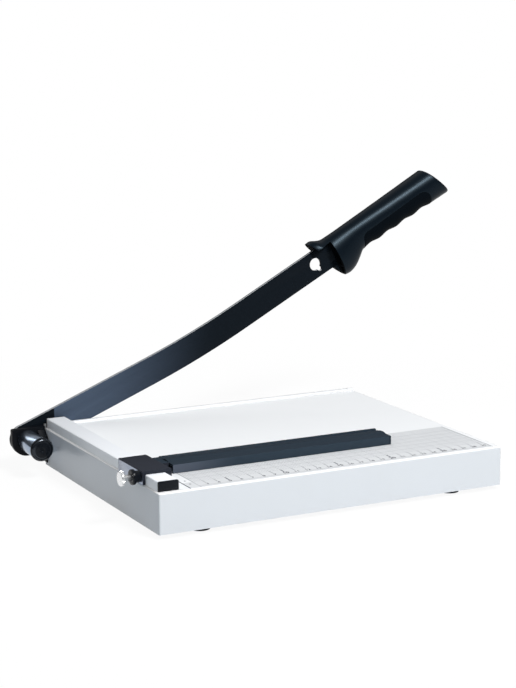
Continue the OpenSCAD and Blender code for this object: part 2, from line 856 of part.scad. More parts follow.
// Long blade: round end on the pivot, two straights with a gentle bend, tang for the handle
module cutter_blade() {
    color("darkslategray") blade_frame() translate([0, blade_y, 0]) difference() {
        union() {
            along_y(0, 0, 0) cylinder(r = tang_r, h = blade_t);
            blade_bar(bend_start);
            translate([bend_start, 0, 0]) {
                blade_core();
                blade_sweep();
            }
            translate([sweep_u, 0, sweep_v]) rotate([0, -sweep_angle, 0]) {
                blade_core();
                blade_bar(near_w);
                translate([near_w - over, 0, -grip_tang_w / 2])
                    cube([grip_tang_l + over, blade_t, grip_tang_w]);
            }
        }
        along_y(0, -over, 0) cylinder(r = bolt_r + run_gap, h = blade_t + 2 * over);
        rotate([90, 0, 0]) translate([0, 0, -blade_t - over])
            rotate([0, 0, notch_from])
                rotate_extrude(angle = notch_to - notch_from)
                    translate([pin_ring - stop_pin_r - pin_play, 0]) square([tang_r, blade_t + 2 * over]);
        translate([sweep_u, 0, sweep_v]) rotate([0, -sweep_angle, 0]) {
            along_y(near_w - lock_back, -over, 0) cylinder(r = lock_r, h = blade_t + 2 * over);
            along_y(near_w - lock_back + lock_notch_r, -over, -lock_r)
                cylinder(r = lock_notch_r, h = blade_t + 2 * over);
            for (h = handle_screw_hs) along_y(near_w + h, -over, 0)
                cylinder(r = handle_screw_r + fit_gap, h = blade_t + 2 * over);
        }
    }
}

// Space that the blade and its tang take inside the handle
module tang_space() {
    t = blade_t + 2 * fit_gap;
    w = blade_w + 2 * fit_gap;
    tang = grip_tang_w + 2 * fit_gap;
    front = guard_reach + blade_w;
    translate([-front, -t / 2, -w / 2]) cube([front + fit_gap, t, w]);
    translate([0, -t / 2, -tang / 2]) cube([grip_tang_l + fit_gap, t, tang]);
}

// One half of the handle, on the outer side, with a seat for the finger grip
module handle_half() {
    skinned([for (h = ring_list) [for (a = half_turn) skin(h, a, seat_of(h, a))]]);
}

// Hollow of the guard in one half: two pockets beside the blade with a rib between them
module guard_space() {
    inner = [for (row = handle_rows) if (row[0] > over - guard_reach && row[0] < guard_hollow - over) row[0]];
    length = 4 * guard_hollow;
    width = 2 * blade_w;
    web = blade_t / 2 + web_t;
    intersection() {
        skinned([
            for (h = concat([-guard_reach - over], inner, [guard_hollow]))
            [for (a = half_turn) skin(max(h, -guard_reach), a, guard_wall) + [min(0, h + guard_reach), 0, 0]]
        ]);
        union() {
            translate([-length / 2, web, rib_z + rib_t / 2])
                cube([length, width, roof_z - guard_wall - rib_z - rib_t / 2]);
            translate([-length / 2, web, rib_z - rib_t / 2 - width]) cube([length, width, width]);
        }
    }
}

// Half of the handle that faces the paper, its side cut back below the guard's roof
module handle_near() {
    color("black") handle_frame() difference() {
        mirror([0, 1, 0]) difference() {
            handle_half();
            guard_space();
        }
        tang_space();
        translate([-4 * blade_w, -blade_w, roof_z - 4 * blade_w])
            cube([4 * blade_w, 2 * blade_w, 4 * blade_w]);
        for (h = handle_screw_hs) along_y(h, -screw_reach - over / 2, 0)
            cylinder(r = handle_screw_r + fit_gap / 2, h = screw_reach + over);
    }
}

// Half of the handle that faces outwards, with the full guard and the screw heads
module handle_far() {
    color("black") handle_frame() difference() {
        handle_half();
        guard_space();
        tang_space();
        for (h = handle_screw_hs) {
            along_y(h, -over, 0) cylinder(r = handle_screw_r + fit_gap, h = screw_seat + 2 * over);
            along_y(h, screw_seat, 0) cylinder(r = handle_head_r + fit_gap, h = blade_w);
        }
    }
}

// Soft grip with finger waves around the lower half of the handle
module finger_grip() {
    color("dimgray") handle_frame() skinned([
        for (h = grip_list(grip_play))
        concat(
            [for (a = grip_turn) skin(h, a, 0)],
            [for (i = [len(grip_turn) - 1 : -1 : 0]) skin(h, grip_turn[i], grip_t - fit_gap)]
        )
    ]);
}

// Screws from the outer side through the tang into the near half
module handle_screws() {
    color("silver") handle_frame() for (h = handle_screw_hs)
        translate([h, screw_seat, 0]) rotate([90, 0, 0])
            flat_screw(handle_screw_r, screw_seat + screw_reach, handle_head_r, handle_head_h);
}

// Section of the slider: a channel upside down with round upper edges
module saddle_outline() {
    r = saddle_edge_r;
    w = saddle_x1 - saddle_x0;
    h = saddle_top - saddle_z;
    difference() {
        union() {
            square([w, h - r]);
            translate([r, 0]) square([w - 2 * r, h]);
            for (x = [r, w - r]) translate([x, h - r]) circle(r = r);
        }
        translate([cheek_out, -over]) square([fence_w + 2 * slide_gap, saddle_in_z - saddle_z + over]);
    }
}

// Slider that straddles the fence, with the tongue that carries the stop bar and the shoulder it butts on
module slider_saddle() {
    color("black") difference() {
        union() {
            translate([saddle_x0, saddle_back, saddle_z])
                rotate([90, 0, 0]) linear_extrude(slider_l) saddle_outline();
            translate([saddle_x1 - over, tongue_y0, saddle_z])
                cube([over + bar_gap + tongue_l, tongue_w, tongue_h]);
            translate([saddle_x1 - over, tongue_y0, saddle_z])
                cube([over + bar_gap - fit_gap, bar_y1 - tongue_y0, bar_h]);
        }
        along_x(saddle_x0 - over, thumb_y, thumb_z)
            cylinder(r = collar_spigot_r + fit_gap / 2, h = over + cheek_out + fit_gap);
        for (x = bar_screw_xs) translate([x, tongue_mid, saddle_z]) {
            translate([0, 0, -over]) cylinder(r = bar_screw_r + fit_gap, h = tongue_h + 2 * over);
            translate([0, 0, -over]) cylinder(r = bar_head_r + fit_gap, h = over + bar_head_up + bar_head_h);
        }
    }
}

// Outline of the stop bar below its ridge: square front, flat step, groove and back lip
module bar_outline() {
    back = bar_w - back_lip_w;
    polygon([
        [0, 0], [0, bar_h - bar_edge], [bar_edge, bar_h], [back - back_groove_w, bar_h],
        [back - back_groove_w, bar_h - back_groove_d], [back, bar_h - back_groove_d],
        [back + 0.4, bar_h + back_lip_h], [bar_w, bar_h + back_lip_h], [bar_w, 0]
    ]);
}

// Round ridge along the top of the bar
module ridge_outline() {
    intersection() {
        translate([ridge_mid, bar_h + bar_ridge - ridge_r]) circle(r = ridge_r, $fn = 128);
        translate([ridge_mid - ridge_r, bar_h - 1]) square([2 * ridge_r, ridge_r]);
    }
}

// Runs a bar outline along X from one place to another
module bar_run(from, to) {
    translate([from, bar_y0, bar_z]) rotate([90, 0, 90]) linear_extrude(to - from) children();
}

// Hollow of the stop bar, drawn smaller by a clearance
module bar_hollow(gap) {
    translate([bar_wall + gap, 0]) square([bar_w - 2 * bar_wall - 2 * gap, bar_roof - gap]);
}

// Dark bar across the table that the paper is pushed against, open underneath
module stop_bar() {
    color("dimgray") difference() {
        union() {
            bar_run(bar_x0, bar_x1 - bar_plug_face) bar_outline();
            bar_run(bar_x0, bar_x1 - bar_plug_face) ridge_outline();
        }
        translate([0, 0, -over]) bar_run(bar_x0 - over, bar_x1) bar_hollow(0);
        bar_run(bar_x0 - over, bar_x1) bar_hollow(0);
        for (x = bar_screw_xs) translate([x, tongue_mid, bar_z])
            cylinder(r = bar_screw_r + fit_gap / 2, h = bar_roof + bar_bite + fit_gap);
    }
}

// Plug that closes the right end of the bar
module stop_bar_plug() {
    color("black") {
        bar_run(bar_x1 - bar_plug_face, bar_x1) bar_outline();
        bar_run(bar_x1 - bar_plug_face, bar_x1) ridge_outline();
        bar_run(bar_x1 - bar_plug_face - bar_plug_l, bar_x1 - bar_plug_face) bar_hollow(fit_gap);
    }
}

// Screws from below through the tongue into the bar
module stop_bar_screws() {
    rise = bar_head_up + bar_head_h;
    color("silver") for (x = bar_screw_xs) translate([x, tongue_mid, bar_z + rise])
        flat_screw(bar_screw_r, bar_roof + bar_bite - rise, bar_head_r, bar_head_h);
}

// Threaded collar pressed into the slider's outer cheek
module thumb_collar() {
    length = collar_flange_t + collar_l + collar_spigot_l;
    color("black") along_x(collar_x0, thumb_y, thumb_z) difference() {
        union() {
            cylinder(r = collar_flange_r, h = collar_flange_t);
            cylinder(r = collar_r, h = collar_flange_t + collar_l);
            cylinder(r = collar_spigot_r, h = length);
        }
        translate([0, 0, -over]) cylinder(r = thumb_r + run_gap, h = length + 2 * over);
    }
}

// Swivel pad that presses on the fence, its pin in the tip of the screw
module thumb_pad() {
    color("white") along_x(pad_x0, thumb_y, thumb_z) {
        cylinder(r = pad_r, h = pad_t);
        translate([0, 0, -pad_pin_l]) cylinder(r = pad_pin_r, h = pad_pin_l + pad_t / 2);
    }
}

// Thumb screw with a round head
module thumb_screw() {
    c = thumb_chamfer;
    color("silver") along_x(thumb_head_x, thumb_y, thumb_z) difference() {
        union() {
            cylinder(r = thumb_r, h = thumb_tip - thumb_head_x);
            translate([0, 0, -thumb_head_t]) rotate_extrude() polygon([
                [0, 0], [thumb_head_r - c, 0], [thumb_head_r, c], [thumb_head_r, thumb_head_t - c],
                [thumb_head_r - c, thumb_head_t], [0, thumb_head_t]
            ]);
        }
        translate([0, 0, thumb_tip - thumb_head_x - pad_pin_l - fit_gap])
            cylinder(r = pad_pin_r + run_gap, h = pad_pin_l + over);
    }
}

part_frame() base_tray();
part_frame() rubber_feet();
part_frame() foot_screws();
part_frame() foot_nuts();
part_frame() fence_rail();
part_frame() fence_cap_front();
part_frame() fence_cap_rear();
part_frame() fence_screws();
part_frame() fixed_blade();
part_frame() fixed_blade_screws();
part_frame() pivot_bracket();
part_frame() bracket_screws();
part_frame() stop_pin();
part_frame() pivot_bolt();
part_frame() blade_washer();
part_frame() spring_tube();
part_frame() tube_cap();
part_frame() pressure_spring();
part_frame() thrust_washer();
part_frame() lock_nut();
part_frame() cutter_blade();
part_frame() handle_near();
part_frame() handle_far();
part_frame() finger_grip();
part_frame() handle_screws();
part_frame() slider_saddle();
part_frame() stop_bar();
part_frame() stop_bar_plug();
part_frame() stop_bar_screws();
part_frame() thumb_collar();
part_frame() thumb_pad();
part_frame() thumb_screw();
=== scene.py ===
"""Looks of the desk paper cutter: its finishes, rounded edges, moulded handle and printed table."""

import json
import logging
import math
from contextlib import contextmanager
from dataclasses import dataclass, field
from enum import Enum, IntEnum
from typing import Callable, Iterator

import bmesh
import bpy
from mathutils import Matrix, Vector


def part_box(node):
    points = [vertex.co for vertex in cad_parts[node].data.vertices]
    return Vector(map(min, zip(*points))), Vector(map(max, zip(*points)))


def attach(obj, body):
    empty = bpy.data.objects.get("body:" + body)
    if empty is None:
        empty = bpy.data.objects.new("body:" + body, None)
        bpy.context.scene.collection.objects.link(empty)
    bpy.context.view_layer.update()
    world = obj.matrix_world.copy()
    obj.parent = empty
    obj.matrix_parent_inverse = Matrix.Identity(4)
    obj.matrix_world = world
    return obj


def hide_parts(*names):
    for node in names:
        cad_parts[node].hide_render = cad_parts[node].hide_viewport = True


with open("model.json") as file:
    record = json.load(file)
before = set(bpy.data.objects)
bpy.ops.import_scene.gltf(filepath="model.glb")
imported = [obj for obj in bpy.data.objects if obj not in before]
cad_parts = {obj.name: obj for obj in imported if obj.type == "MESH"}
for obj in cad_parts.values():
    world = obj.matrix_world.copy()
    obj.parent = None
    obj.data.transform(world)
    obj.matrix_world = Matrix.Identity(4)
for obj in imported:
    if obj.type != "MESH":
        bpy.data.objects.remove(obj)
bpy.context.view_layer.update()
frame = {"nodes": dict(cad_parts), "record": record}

LOG = logging.getLogger("paper_cutter")
MM = 0.001
# Share of a unit normal along an axis from which a face counts as facing that way
FACING = 0.9
# Distance within which doubled points are merged, and angle below which flat faces are joined
WELD = 0.002 * MM
FLAT = math.radians(0.5)
# Steps of a rounded edge, and octaves of finer noise in a pattern
EDGE_STEPS = 2
NOISE_DETAIL = 3.0
Pair = tuple[float, float]
Colour = tuple[float, float, float]
Socket = bpy.types.NodeSocket
Value = Socket | float | tuple
Piece = bpy.types.Object


class Body(Enum):
    """Bodies of the cutter that its pieces ride on."""

    BASE = "base"
    ARM = "blade_arm"
    STOP = "paper_stop"
    SCREW = "clamp_screw"


class Grain(Enum):
    """Fine pattern of a surface, as stretch factors along X, Y and Z."""

    EVEN = (1.0, 1.0, 1.0)
    DRAWN_X = (0.03, 1.0, 1.0)
    DRAWN_Y = (1.0, 0.03, 1.0)


class Cut(Enum):
    """What a tool solid does to a piece."""

    AWAY = "DIFFERENCE"
    COMMON = "INTERSECT"
    JOIN = "UNION"


class Column(IntEnum):
    """Columns of the handle's sections: place along the arm, top, underside and half width."""

    PLACE = 0
    TOP = 1
    LOW = 2
    HALF = 3


def shade(red: int, green: int, blue: int) -> Colour:
    """Turn a screen colour into the linear colour that a shader takes, by the sRGB curve.

    Args:
        red: Red from 0 to 255.
        green: Green from 0 to 255.
        blue: Blue from 0 to 255.

    Returns:
        The linear colour.
    """

    def linear(level: int) -> float:
        """Return the linear value of one channel."""
        share = level / 255
        return share / 12.92 if share <= 0.04045 else ((share + 0.055) / 1.055) ** 2.4

    return linear(red), linear(green), linear(blue)


def scaled(colour: Colour, factor: float) -> tuple[float, float, float, float]:
    """Return a colour made lighter or darker, with its alpha."""
    return (*(min(1.0, c * factor) for c in colour), 1.0)


class Graph:
    """Node tree of a material or of the world, with short ways to add and join nodes."""

    def __init__(self, owner: bpy.types.Material | bpy.types.World) -> None:
        """Start on the nodes that a new material or world has.

        Args:
            owner: The material or world.
        """
        owner.use_nodes = True
        self.owner = owner
        self.nodes = owner.node_tree.nodes
        self.shader = self.nodes.get("Principled BSDF")
        self.places = self.nodes.new("ShaderNodeTexCoord").outputs

    def fill(self, sockets: bpy.types.NodeInputs, values: dict[str | int, Value]) -> None:
        """Set sockets to values, or link them to other sockets.

        Args:
            sockets: Inputs of a node.
            values: Value or source of each input.
        """
        for key, value in values.items():
            if isinstance(value, Socket):
                self.owner.node_tree.links.new(value, sockets[key])
            else:
                sockets[key].default_value = value

    def add(self, kind: str, values: dict[str | int, Value], **settings: str) -> bpy.types.NodeOutputs:
        """Add a node.

        Args:
            kind: Blender's name of the node.
            values: Value or source of each input.
            **settings: Settings of the node.

        Returns:
            Its outputs.
        """
        node = self.nodes.new(kind)
        for name, setting in settings.items():
            setattr(node, name, setting)
        self.fill(node.inputs, values)
        return node.outputs

    def math(self, operation: str, *values: Socket | float) -> Socket:
        """Add a Math node with Blender's name of its operation, and return the result."""
        return self.add("ShaderNodeMath", dict(enumerate(values)), operation=operation)[0]

    def both(self, first: Socket | float, second: Socket | float) -> Socket:
        """Return the product of two patterns: 1 only where both are."""
        return self.math("MULTIPLY", first, second)

    def either(self, first: Socket | float, second: Socket | float) -> Socket:
        """Return the larger of two patterns: 1 where one of them is."""
        return self.math("MAXIMUM", first, second)

    def noise(self, size: float, grain: Grain) -> Socket:
        """Add a noise pattern on the object's own coordinates.

        Args:
            size: Size of a patch in metres.
            grain: Stretch of the pattern.

        Returns:
            The noise from 0 to 1.
        """
        spot = self.add("ShaderNodeMapping", {"Vector": self.places["Object"], "Scale": grain.value})[0]
        values = {"Vector": spot, "Scale": 1 / size, "Detail": NOISE_DETAIL}
        return self.add("ShaderNodeTexNoise", values)[0]

    def between(self, factor: Socket, low: float, high: float) -> Socket:
        """Map a factor from 0 to 1 onto a range."""
        return self.add("ShaderNodeMapRange", {"Value": factor, "To Min": low, "To Max": high})[0]

    def ramp(self, value: Socket, source: Pair, target: Pair) -> Socket:
        """Add a smooth step.

        Args:
            value: Value that is mapped.
            source: Where the step starts and ends.
            target: Results there.

        Returns:
            The mapped value.
        """
        limits = dict(zip(("From Min", "From Max", "To Min", "To Max"), (*source, *target)))
        values = {"Value": value, **limits}
        return self.add("ShaderNodeMapRange", values, interpolation_type="SMOOTHSTEP")[0]

    def blend(self, factor: Socket, first: Socket | tuple, second: Socket | tuple) -> Socket:
        """Mix two colours: a factor of 0 gives the first, 1 the second."""
        values = {"Factor": factor, "A": first, "B": second}
        return self.add("ShaderNodeMix", values, data_type="RGBA")["Result"]

    def mix(self, factor: Socket, first: Socket, second: Socket) -> Socket:
        """Mix two shaders: a factor of 0 gives the first, 1 the second."""
        return self.add("ShaderNodeMixShader", {0: factor, 1: first, 2: second})[0]

    def axis(self, name: str, places: str = "Object") -> Socket:
        """Return one coordinate: of a place on a piece in metres, or of a direction in the world."""
        return self.add("ShaderNodeSeparateXYZ", {0: self.places[places]})[name]

    def relief(self, height: Socket, strength: float, depth: float) -> None:
        """Give the shader a bump from a height pattern of 0 to 1, with its depth in metres."""
        values = {"Height": height, "Strength": strength, "Distance": depth}
        self.fill(self.shader.inputs, {"Normal": self.add("ShaderNodeBump", values)[0]})


@dataclass(frozen=True)
class Finish:
    """Finish of a surface: its colour, gloss and fine texture."""

    name: str
    colour: Colour
    rough: float
    metal: float = 0.0
    gloss: float = 0.5
    mottle: float = 0.08
    mottle_size: float = 25 * MM
    spread: float = 0.06
    grain: Grain = Grain.EVEN
    grain_size: float = 0.7 * MM
    grain_relief: float = 0.15
    grain_depth: float = 0.02 * MM
    coat: float = 0.0
    coat_rough: float = 0.12
    tint: Colour = (1.0, 1.0, 1.0)

    def colours(self, graph: Graph) -> Socket:
        """Return the colour pattern of the finish.

        Args:
            graph: Node tree of the material.

        Returns:
            The colour.
        """
        cloud = graph.noise(self.mottle_size, self.grain)
        low = scaled(self.colour, 1 - self.mottle)
        high = scaled(self.colour, 1 + self.mottle)
        return graph.blend(cloud, low, high)

    def material(self) -> bpy.types.Material:
        """Build the material once.

        Returns:
            The material.
        """
        known = bpy.data.materials.get(self.name)
        if known:
            return known
        graph = Graph(bpy.data.materials.new(self.name))
        fine = graph.noise(self.grain_size, self.grain)
        graph.fill(graph.shader.inputs, {
            "Base Color": self.colours(graph),
            "Roughness": graph.between(fine, self.rough - self.spread, self.rough + self.spread),
            "Metallic": self.metal,
            "Specular IOR Level": self.gloss,
            "Specular Tint": scaled(self.tint, 1.0),
            "Coat Weight": self.coat,
            "Coat Roughness": self.coat_rough,
        })
        graph.relief(fine, self.grain_relief, self.grain_depth)
        return graph.owner


@dataclass(frozen=True)
class FadingFinish(Finish):
    """Finish that turns from its colour into a second one along an axis, in metres.

    Before `second_before` on that axis it has the second colour too.
    """

    second: Colour = (0.0, 0.0, 0.0)
    axis: str = "X"
    start: float = 0.0
    length: float = 0.2
    second_before: float = -1.0

    def colours(self, graph: Graph) -> Socket:
        """Return the colour as it turns into the second one.

        Args:
            graph: Node tree of the material.

        Returns:
            The colour.
        """
        place = graph.axis(self.axis)
        along = graph.math("DIVIDE", graph.math("SUBTRACT", place, self.start), self.length)
        before = graph.math("LESS_THAN", place, self.second_before)
        turned = graph.either(graph.ramp(along, (0, 1), (0, 1)), before)
        return graph.blend(turned, super().colours(graph), scaled(self.second, 1.0))


@dataclass(frozen=True)
class Ruling:
    """Printed lines that repeat at a pitch, in millimetres, and their share of ink."""

    pitch: float
    width: float
    ink: float
    cross_width: float = 0.0


@dataclass(frozen=True)
class TablePrint(Finish):
    """Printed sheet on the table, in millimetres: a grid, frame lines and a ruler's marks."""

    ink: Colour = shade(56, 64, 78)
    zero: Vector = field(default_factory=Vector)
    grid: tuple[float, float, float, float] = (38.2, 311.5, 20, 78)
    fine: Ruling = Ruling(2, 0.6, 0.45, 0.7)
    coarse: Ruling = Ruling(10, 0.5, 0.62, 0.8)
    ruler_zero: float = 16.5
    ticks: Ruling = Ruling(10, 0.6, 0.8)
    bold: Ruling = Ruling(50, 1.1, 1.0)
    tick_low: float = 13.0
    small: Ruling = Ruling(1, 0.25, 0.4)
    small_low: float = 4.0
    line: float = 0.6
    front_line: float = 7.0
    front_ink: float = 0.5
    band: float = 6.0
    band_ink: float = 0.24
    margin: float = 9.0
    strip_low: float = 3.5
    strip_ink: float = 0.2
    frame_low: float = 3.0
    frame_lines: tuple[float, float, float] = (1.8, 1.0, 1.0)
    frame_inks: tuple[float, float, float] = (1.0, 0.6, 0.85)
    spots: Pair = (15.0, 25.0)
    spot_half: Pair = (0.8, 1.0)
    spot_ink: float = 0.8

    def span(self, graph: Graph, value: Socket, low: float, high: float) -> Socket:
        """Return 1 where a value lies between two limits, and 0 elsewhere."""
        return graph.both(graph.math("GREATER_THAN", value, low), graph.math("LESS_THAN", value, high))

    def lines(self, graph: Graph, value: Socket, pitch: float, width: float, start: float) -> Socket:
        """Return 1 on lines that repeat at a pitch.

        Args:
            graph: Node tree of the material.
            value: Coordinate across the lines in millimetres.
            pitch: Distance between lines.
            width: Width of a line.
            start: Place of one of the lines.

        Returns:
            The pattern.
        """
        shifted = graph.math("SUBTRACT", value, start - pitch / 2)
        wrapped = graph.math("FLOORED_MODULO", shifted, pitch)
        away = graph.math("ABSOLUTE", graph.math("SUBTRACT", wrapped, pitch / 2))
        return graph.math("LESS_THAN", away, width / 2)

    def marks(self, graph: Graph, x: Socket, y: Socket) -> list[tuple[Socket, float]]:
        """Draw the printed marks.

        Args:
            graph: Node tree of the material.
            x: Distance from the left wall in millimetres.
            y: Distance from the front wall in millimetres.

        Returns:
            Each pattern with the share of ink on it.
        """
        x0, x1, y0, y1 = self.grid
        top = y1 + self.band
        wide = self.span(graph, x, x0, x1)
        inside = graph.both(wide, self.span(graph, y, y0, y1))
        found = []
        for ruling in (self.fine, self.coarse):
            upright = self.lines(graph, x, ruling.pitch, ruling.width, self.ruler_zero)
            level = self.lines(graph, y, ruling.pitch, ruling.cross_width, 0.0)
            found.append((graph.both(inside, graph.either(upright, level)), ruling.ink))
        for ruling, low, high in (
            (self.ticks, self.tick_low, y0),
            (self.bold, self.tick_low, y0),
            (self.small, self.small_low, self.front_line),
        ):
            upright = self.lines(graph, x, ruling.pitch, ruling.width, self.ruler_zero)
            mark = graph.both(upright, self.span(graph, y, low, high))
            found.append((graph.both(wide, mark), ruling.ink))
        strip = self.span(graph, x, x0 - self.margin, x1)
        for across, low, high, ink in (
            (wide, self.front_line, self.front_line + self.line, self.front_ink),
            (wide, y1, top, self.band_ink),
            (strip, self.strip_low, y0, self.strip_ink),
        ):
            found.append((graph.both(across, self.span(graph, y, low, high)), ink))
        tall = self.span(graph, y, self.frame_low, top)
        rights = (x0 - self.margin, x0, x1)
        for right, share, ink in zip(rights, self.frame_lines, self.frame_inks):
            upright = self.span(graph, x, right - self.line * share, right)
            found.append((graph.both(tall, upright), ink))
        middle = x0 - self.margin / 2
        half_x, half_y = self.spot_half
        for spot in self.spots:
            column = self.span(graph, x, middle - half_x, middle + half_x)
            row = self.span(graph, y, spot - half_y, spot + half_y)
            found.append((graph.both(column, row), self.spot_ink))
        return found

    def colours(self, graph: Graph) -> Socket:
        """Return the printed colours.

        Args:
            graph: Node tree of the material.

        Returns:
            The colour.
        """
        x = graph.math("MULTIPLY", graph.math("SUBTRACT", graph.axis("X"), self.zero.x), 1 / MM)
        y = graph.math("MULTIPLY", graph.math("SUBTRACT", graph.axis("Y"), self.zero.y), 1 / MM)
        ink = 0.0
        for pattern, share in self.marks(graph, x, y):
            ink = graph.either(graph.both(pattern, share), ink)
        return graph.blend(ink, super().colours(graph), scaled(self.ink, 1.0))


class Paintbox:
    """The finishes of the cutter."""

    def __init__(self, zero: Vector) -> None:
        """Mix the finishes.

        Args:
            zero: Front left corner of the base on the desk, in metres.
        """
        drawn_x, drawn_y = Grain.DRAWN_X, Grain.DRAWN_Y
        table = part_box("base_tray")[1].z
        blade_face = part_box("cutter_blade")[0].y
        # The enamel turns white in the last millimetre below the table's top: a painted highlight along
        # the tray's folded top edges.
        self.enamel = FadingFinish(
            "enamel", shade(224, 226, 228), 0.34, mottle=0.015, spread=0.04, grain_size=1.6 * MM,
            coat=0.2, second=shade(255, 255, 255), axis="Z", start=table - 1.0 * MM, length=0.4 * MM)
        self.print = TablePrint(
            "table_print", shade(233, 235, 237), 0.5, gloss=0.1, mottle=0.01, zero=zero)
        self.ink = Finish("ruler_ink", shade(50, 56, 66), 0.6, gloss=0.2, mottle=0.1)
        self.silver = Finish(
            "silver_rail", shade(231, 234, 238), 0.35, mottle=0.012, gloss=0.03, grain=drawn_y)
        # Whiter silver on the fence's outer side than on its top: painted light that brightens that
        # side.
        self.rail_side = Finish(
            "silver_rail_side_painted_light", shade(253, 254, 255), 0.5, metal=0.15, mottle=0.01, grain=drawn_y)
        self.black = Finish("satin_black", shade(14, 18, 24), 0.26, mottle=0.15, gloss=0.15)
        self.slider = Finish("slider_plastic", shade(42, 45, 53), 0.5, gloss=0.06, mottle=0.08)
        # Pale bluish metal on the slider's outer side: a painted reflection that makes this side much
        # lighter than the rest of the slider.
        self.cheek = Finish("slider_cheek_painted_reflection", shade(147, 157, 175), 0.28, metal=0.85, mottle=0.05)
        self.slate = Finish(
            "slate_anodised", shade(38, 48, 58), 0.5, gloss=0.06, mottle=0.06, grain=drawn_x)
        # Lighter slate on the bar's front face, fading darker from its left end: painted light, a lit
        # copy of the top's slate.
        self.slate_front = FadingFinish(
            "slate_front_painted_light", shade(77, 84, 96), 0.45, gloss=0.1, mottle=0.04, grain=drawn_x,
            second=shade(44, 56, 67), start=zero.x + 36 * MM, length=60 * MM)
        self.cast = Finish(
            "cast_black", shade(11, 14, 19), 0.42, mottle=0.2, gloss=0.1, grain_relief=0.4)
        self.handle = Finish(
            "moulded_handle", shade(3, 10, 18), 0.36, mottle=0.06, gloss=0.18,
            tint=(0.62, 0.83, 1.0), grain_relief=0.03)
        # Near-black, dull finish inside the guard's hollow: painted shade in the recess.
        self.hollow = Finish("hollow_painted_shade", shade(5, 7, 10), 0.8, mottle=0.1, gloss=0.02)
        self.grip = Finish(
            "dark_grip", shade(3, 8, 14), 0.6, mottle=0.15, gloss=0.04, grain_relief=0.4)
        # The blade's light slate near the pivot, darkening toward the handle, is a painted reflection on
        # its dark coat; before 11.5 mm from the left wall the blade is near-black at once.
        self.coat = FadingFinish(
            "slate_painted_reflection", shade(70, 82, 99), 0.42, gloss=0.05, mottle=0.04, grain=drawn_x,
            second=shade(15, 21, 27), start=zero.x + 25 * MM, length=150 * MM,
            second_before=zero.x + 11.5 * MM)
        # Steel of the ground spine, with a painted highlight along its near edge that turns into painted
        # shade at its far edge.
        self.spine = FadingFinish(
            "spine_steel_painted_highlight", shade(205, 208, 212), 0.5, metal=0.5, gloss=0.2, grain=drawn_x,
            second=shade(44, 48, 54), axis="Y", start=blade_face + 0.8 * MM, length=0.9 * MM)
        # Near-white cutting strip: a painted highlight in place of the steel's own grey.
        self.strip = Finish(
            "pale_strip_painted_highlight", shade(238, 240, 242), 0.42, metal=0.2, mottle=0.03, gloss=0.2, grain=drawn_x)
        self.zinc = Finish("zinc_steel", shade(168, 172, 176), 0.34, metal=1.0, mottle=0.12)
        self.nickel = Finish("bright_nickel", shade(238, 239, 240), 0.28, metal=0.9, mottle=0.04)
        self.chrome = Finish(
            "polished_chrome", shade(150, 164, 182), 0.2, metal=0.95, mottle=0.03, spread=0.03)
        self.glint = Finish("rim_glint", shade(30, 36, 44), 0.22, metal=0.6, mottle=0.05, gloss=0.8)
        self.pale = Finish("pale_plastic", shade(224, 224, 218), 0.5)
        self.rubber = Finish(
            "dull_rubber", shade(38, 40, 43), 0.75, mottle=0.2, gloss=0.3, grain_relief=0.4)


def activate(piece: Piece) -> None:
    """Make one object the only one that is selected.

    Args:
        piece: The object.
    """
    bpy.ops.object.select_all(action="DESELECT")
    piece.select_set(True)
    bpy.context.view_layer.objects.active = piece


@contextmanager
def editing(piece: Piece) -> Iterator[None]:
    """Work on a piece in edit mode with everything selected.

    Args:
        piece: The piece.

    Yields:
        Nothing: the operators act on the piece.
    """
    activate(piece)
    bpy.ops.object.mode_set(mode="EDIT")
    bpy.ops.mesh.select_all(action="SELECT")
    yield
    bpy.ops.object.mode_set(mode="OBJECT")


def pick_edges(piece: Piece, test: Callable[[Vector, Vector], bool]) -> None:
    """Select the edges whose two ends pass a test, in edit mode.

    Args:
        piece: Piece in edit mode.
        test: Takes both ends of an edge.
    """
    bpy.ops.mesh.select_mode(type="EDGE")
    bpy.ops.mesh.select_all(action="DESELECT")
    mesh = bmesh.from_edit_mesh(piece.data)
    for edge in mesh.edges:
        edge.select_set(test(edge.verts[0].co, edge.verts[1].co))
    bmesh.update_edit_mesh(piece.data)


def modified(piece: Piece, kind: str, **settings: object) -> None:
    """Add a modifier to a piece and apply it.

    Args:
        piece: The piece.
        kind: Blender's name of the modifier.
        **settings: Its settings.
    """
    activate(piece)
    modifier = piece.modifiers.new(kind.title(), kind)
    for name, value in settings.items():
        setattr(modifier, name, value)
    bpy.ops.object.modifier_apply(modifier=modifier.name)


def cut(piece: Piece, tool: Piece, way: Cut) -> None:
    """Cut a piece with a tool solid, which is then removed.

    Args:
        piece: Piece that changes.
        tool: Solid that cuts it.
        way: What the cut leaves.
    """
    modified(piece, "BOOLEAN", object=tool, operation=way.value, solver="EXACT")
    bpy.data.objects.remove(tool)


def start(add: Callable[..., set[str]], **settings: object) -> Piece:
    """Add a primitive, alone in the selection and with its place in its mesh.

    Args:
        add: Operator that adds it.
        **settings: Its size and place.

    Returns:
        The new object.
    """
    bpy.ops.object.select_all(action="DESELECT")
    add(**settings)
    bpy.ops.object.transform_apply(location=True, rotation=True, scale=True)
    return bpy.context.object


def block(low: tuple[float, float, float], high: tuple[float, float, float]) -> Piece:
    """Add a box as a tool or a start.

    Args:
        low: Lowest corner in metres.
        high: Highest corner in metres.

    Returns:
        The box.
    """
    size = Vector(high) - Vector(low)
    middle = (Vector(low) + Vector(high)) / 2
    return start(bpy.ops.mesh.primitive_cube_add, size=1, location=middle, scale=size)


def smooth(piece: Piece, degrees: float = 35) -> None:
    """Shade a piece smooth below an angle."""
    activate(piece)
    bpy.ops.object.shade_smooth_by_angle(angle=math.radians(degrees))


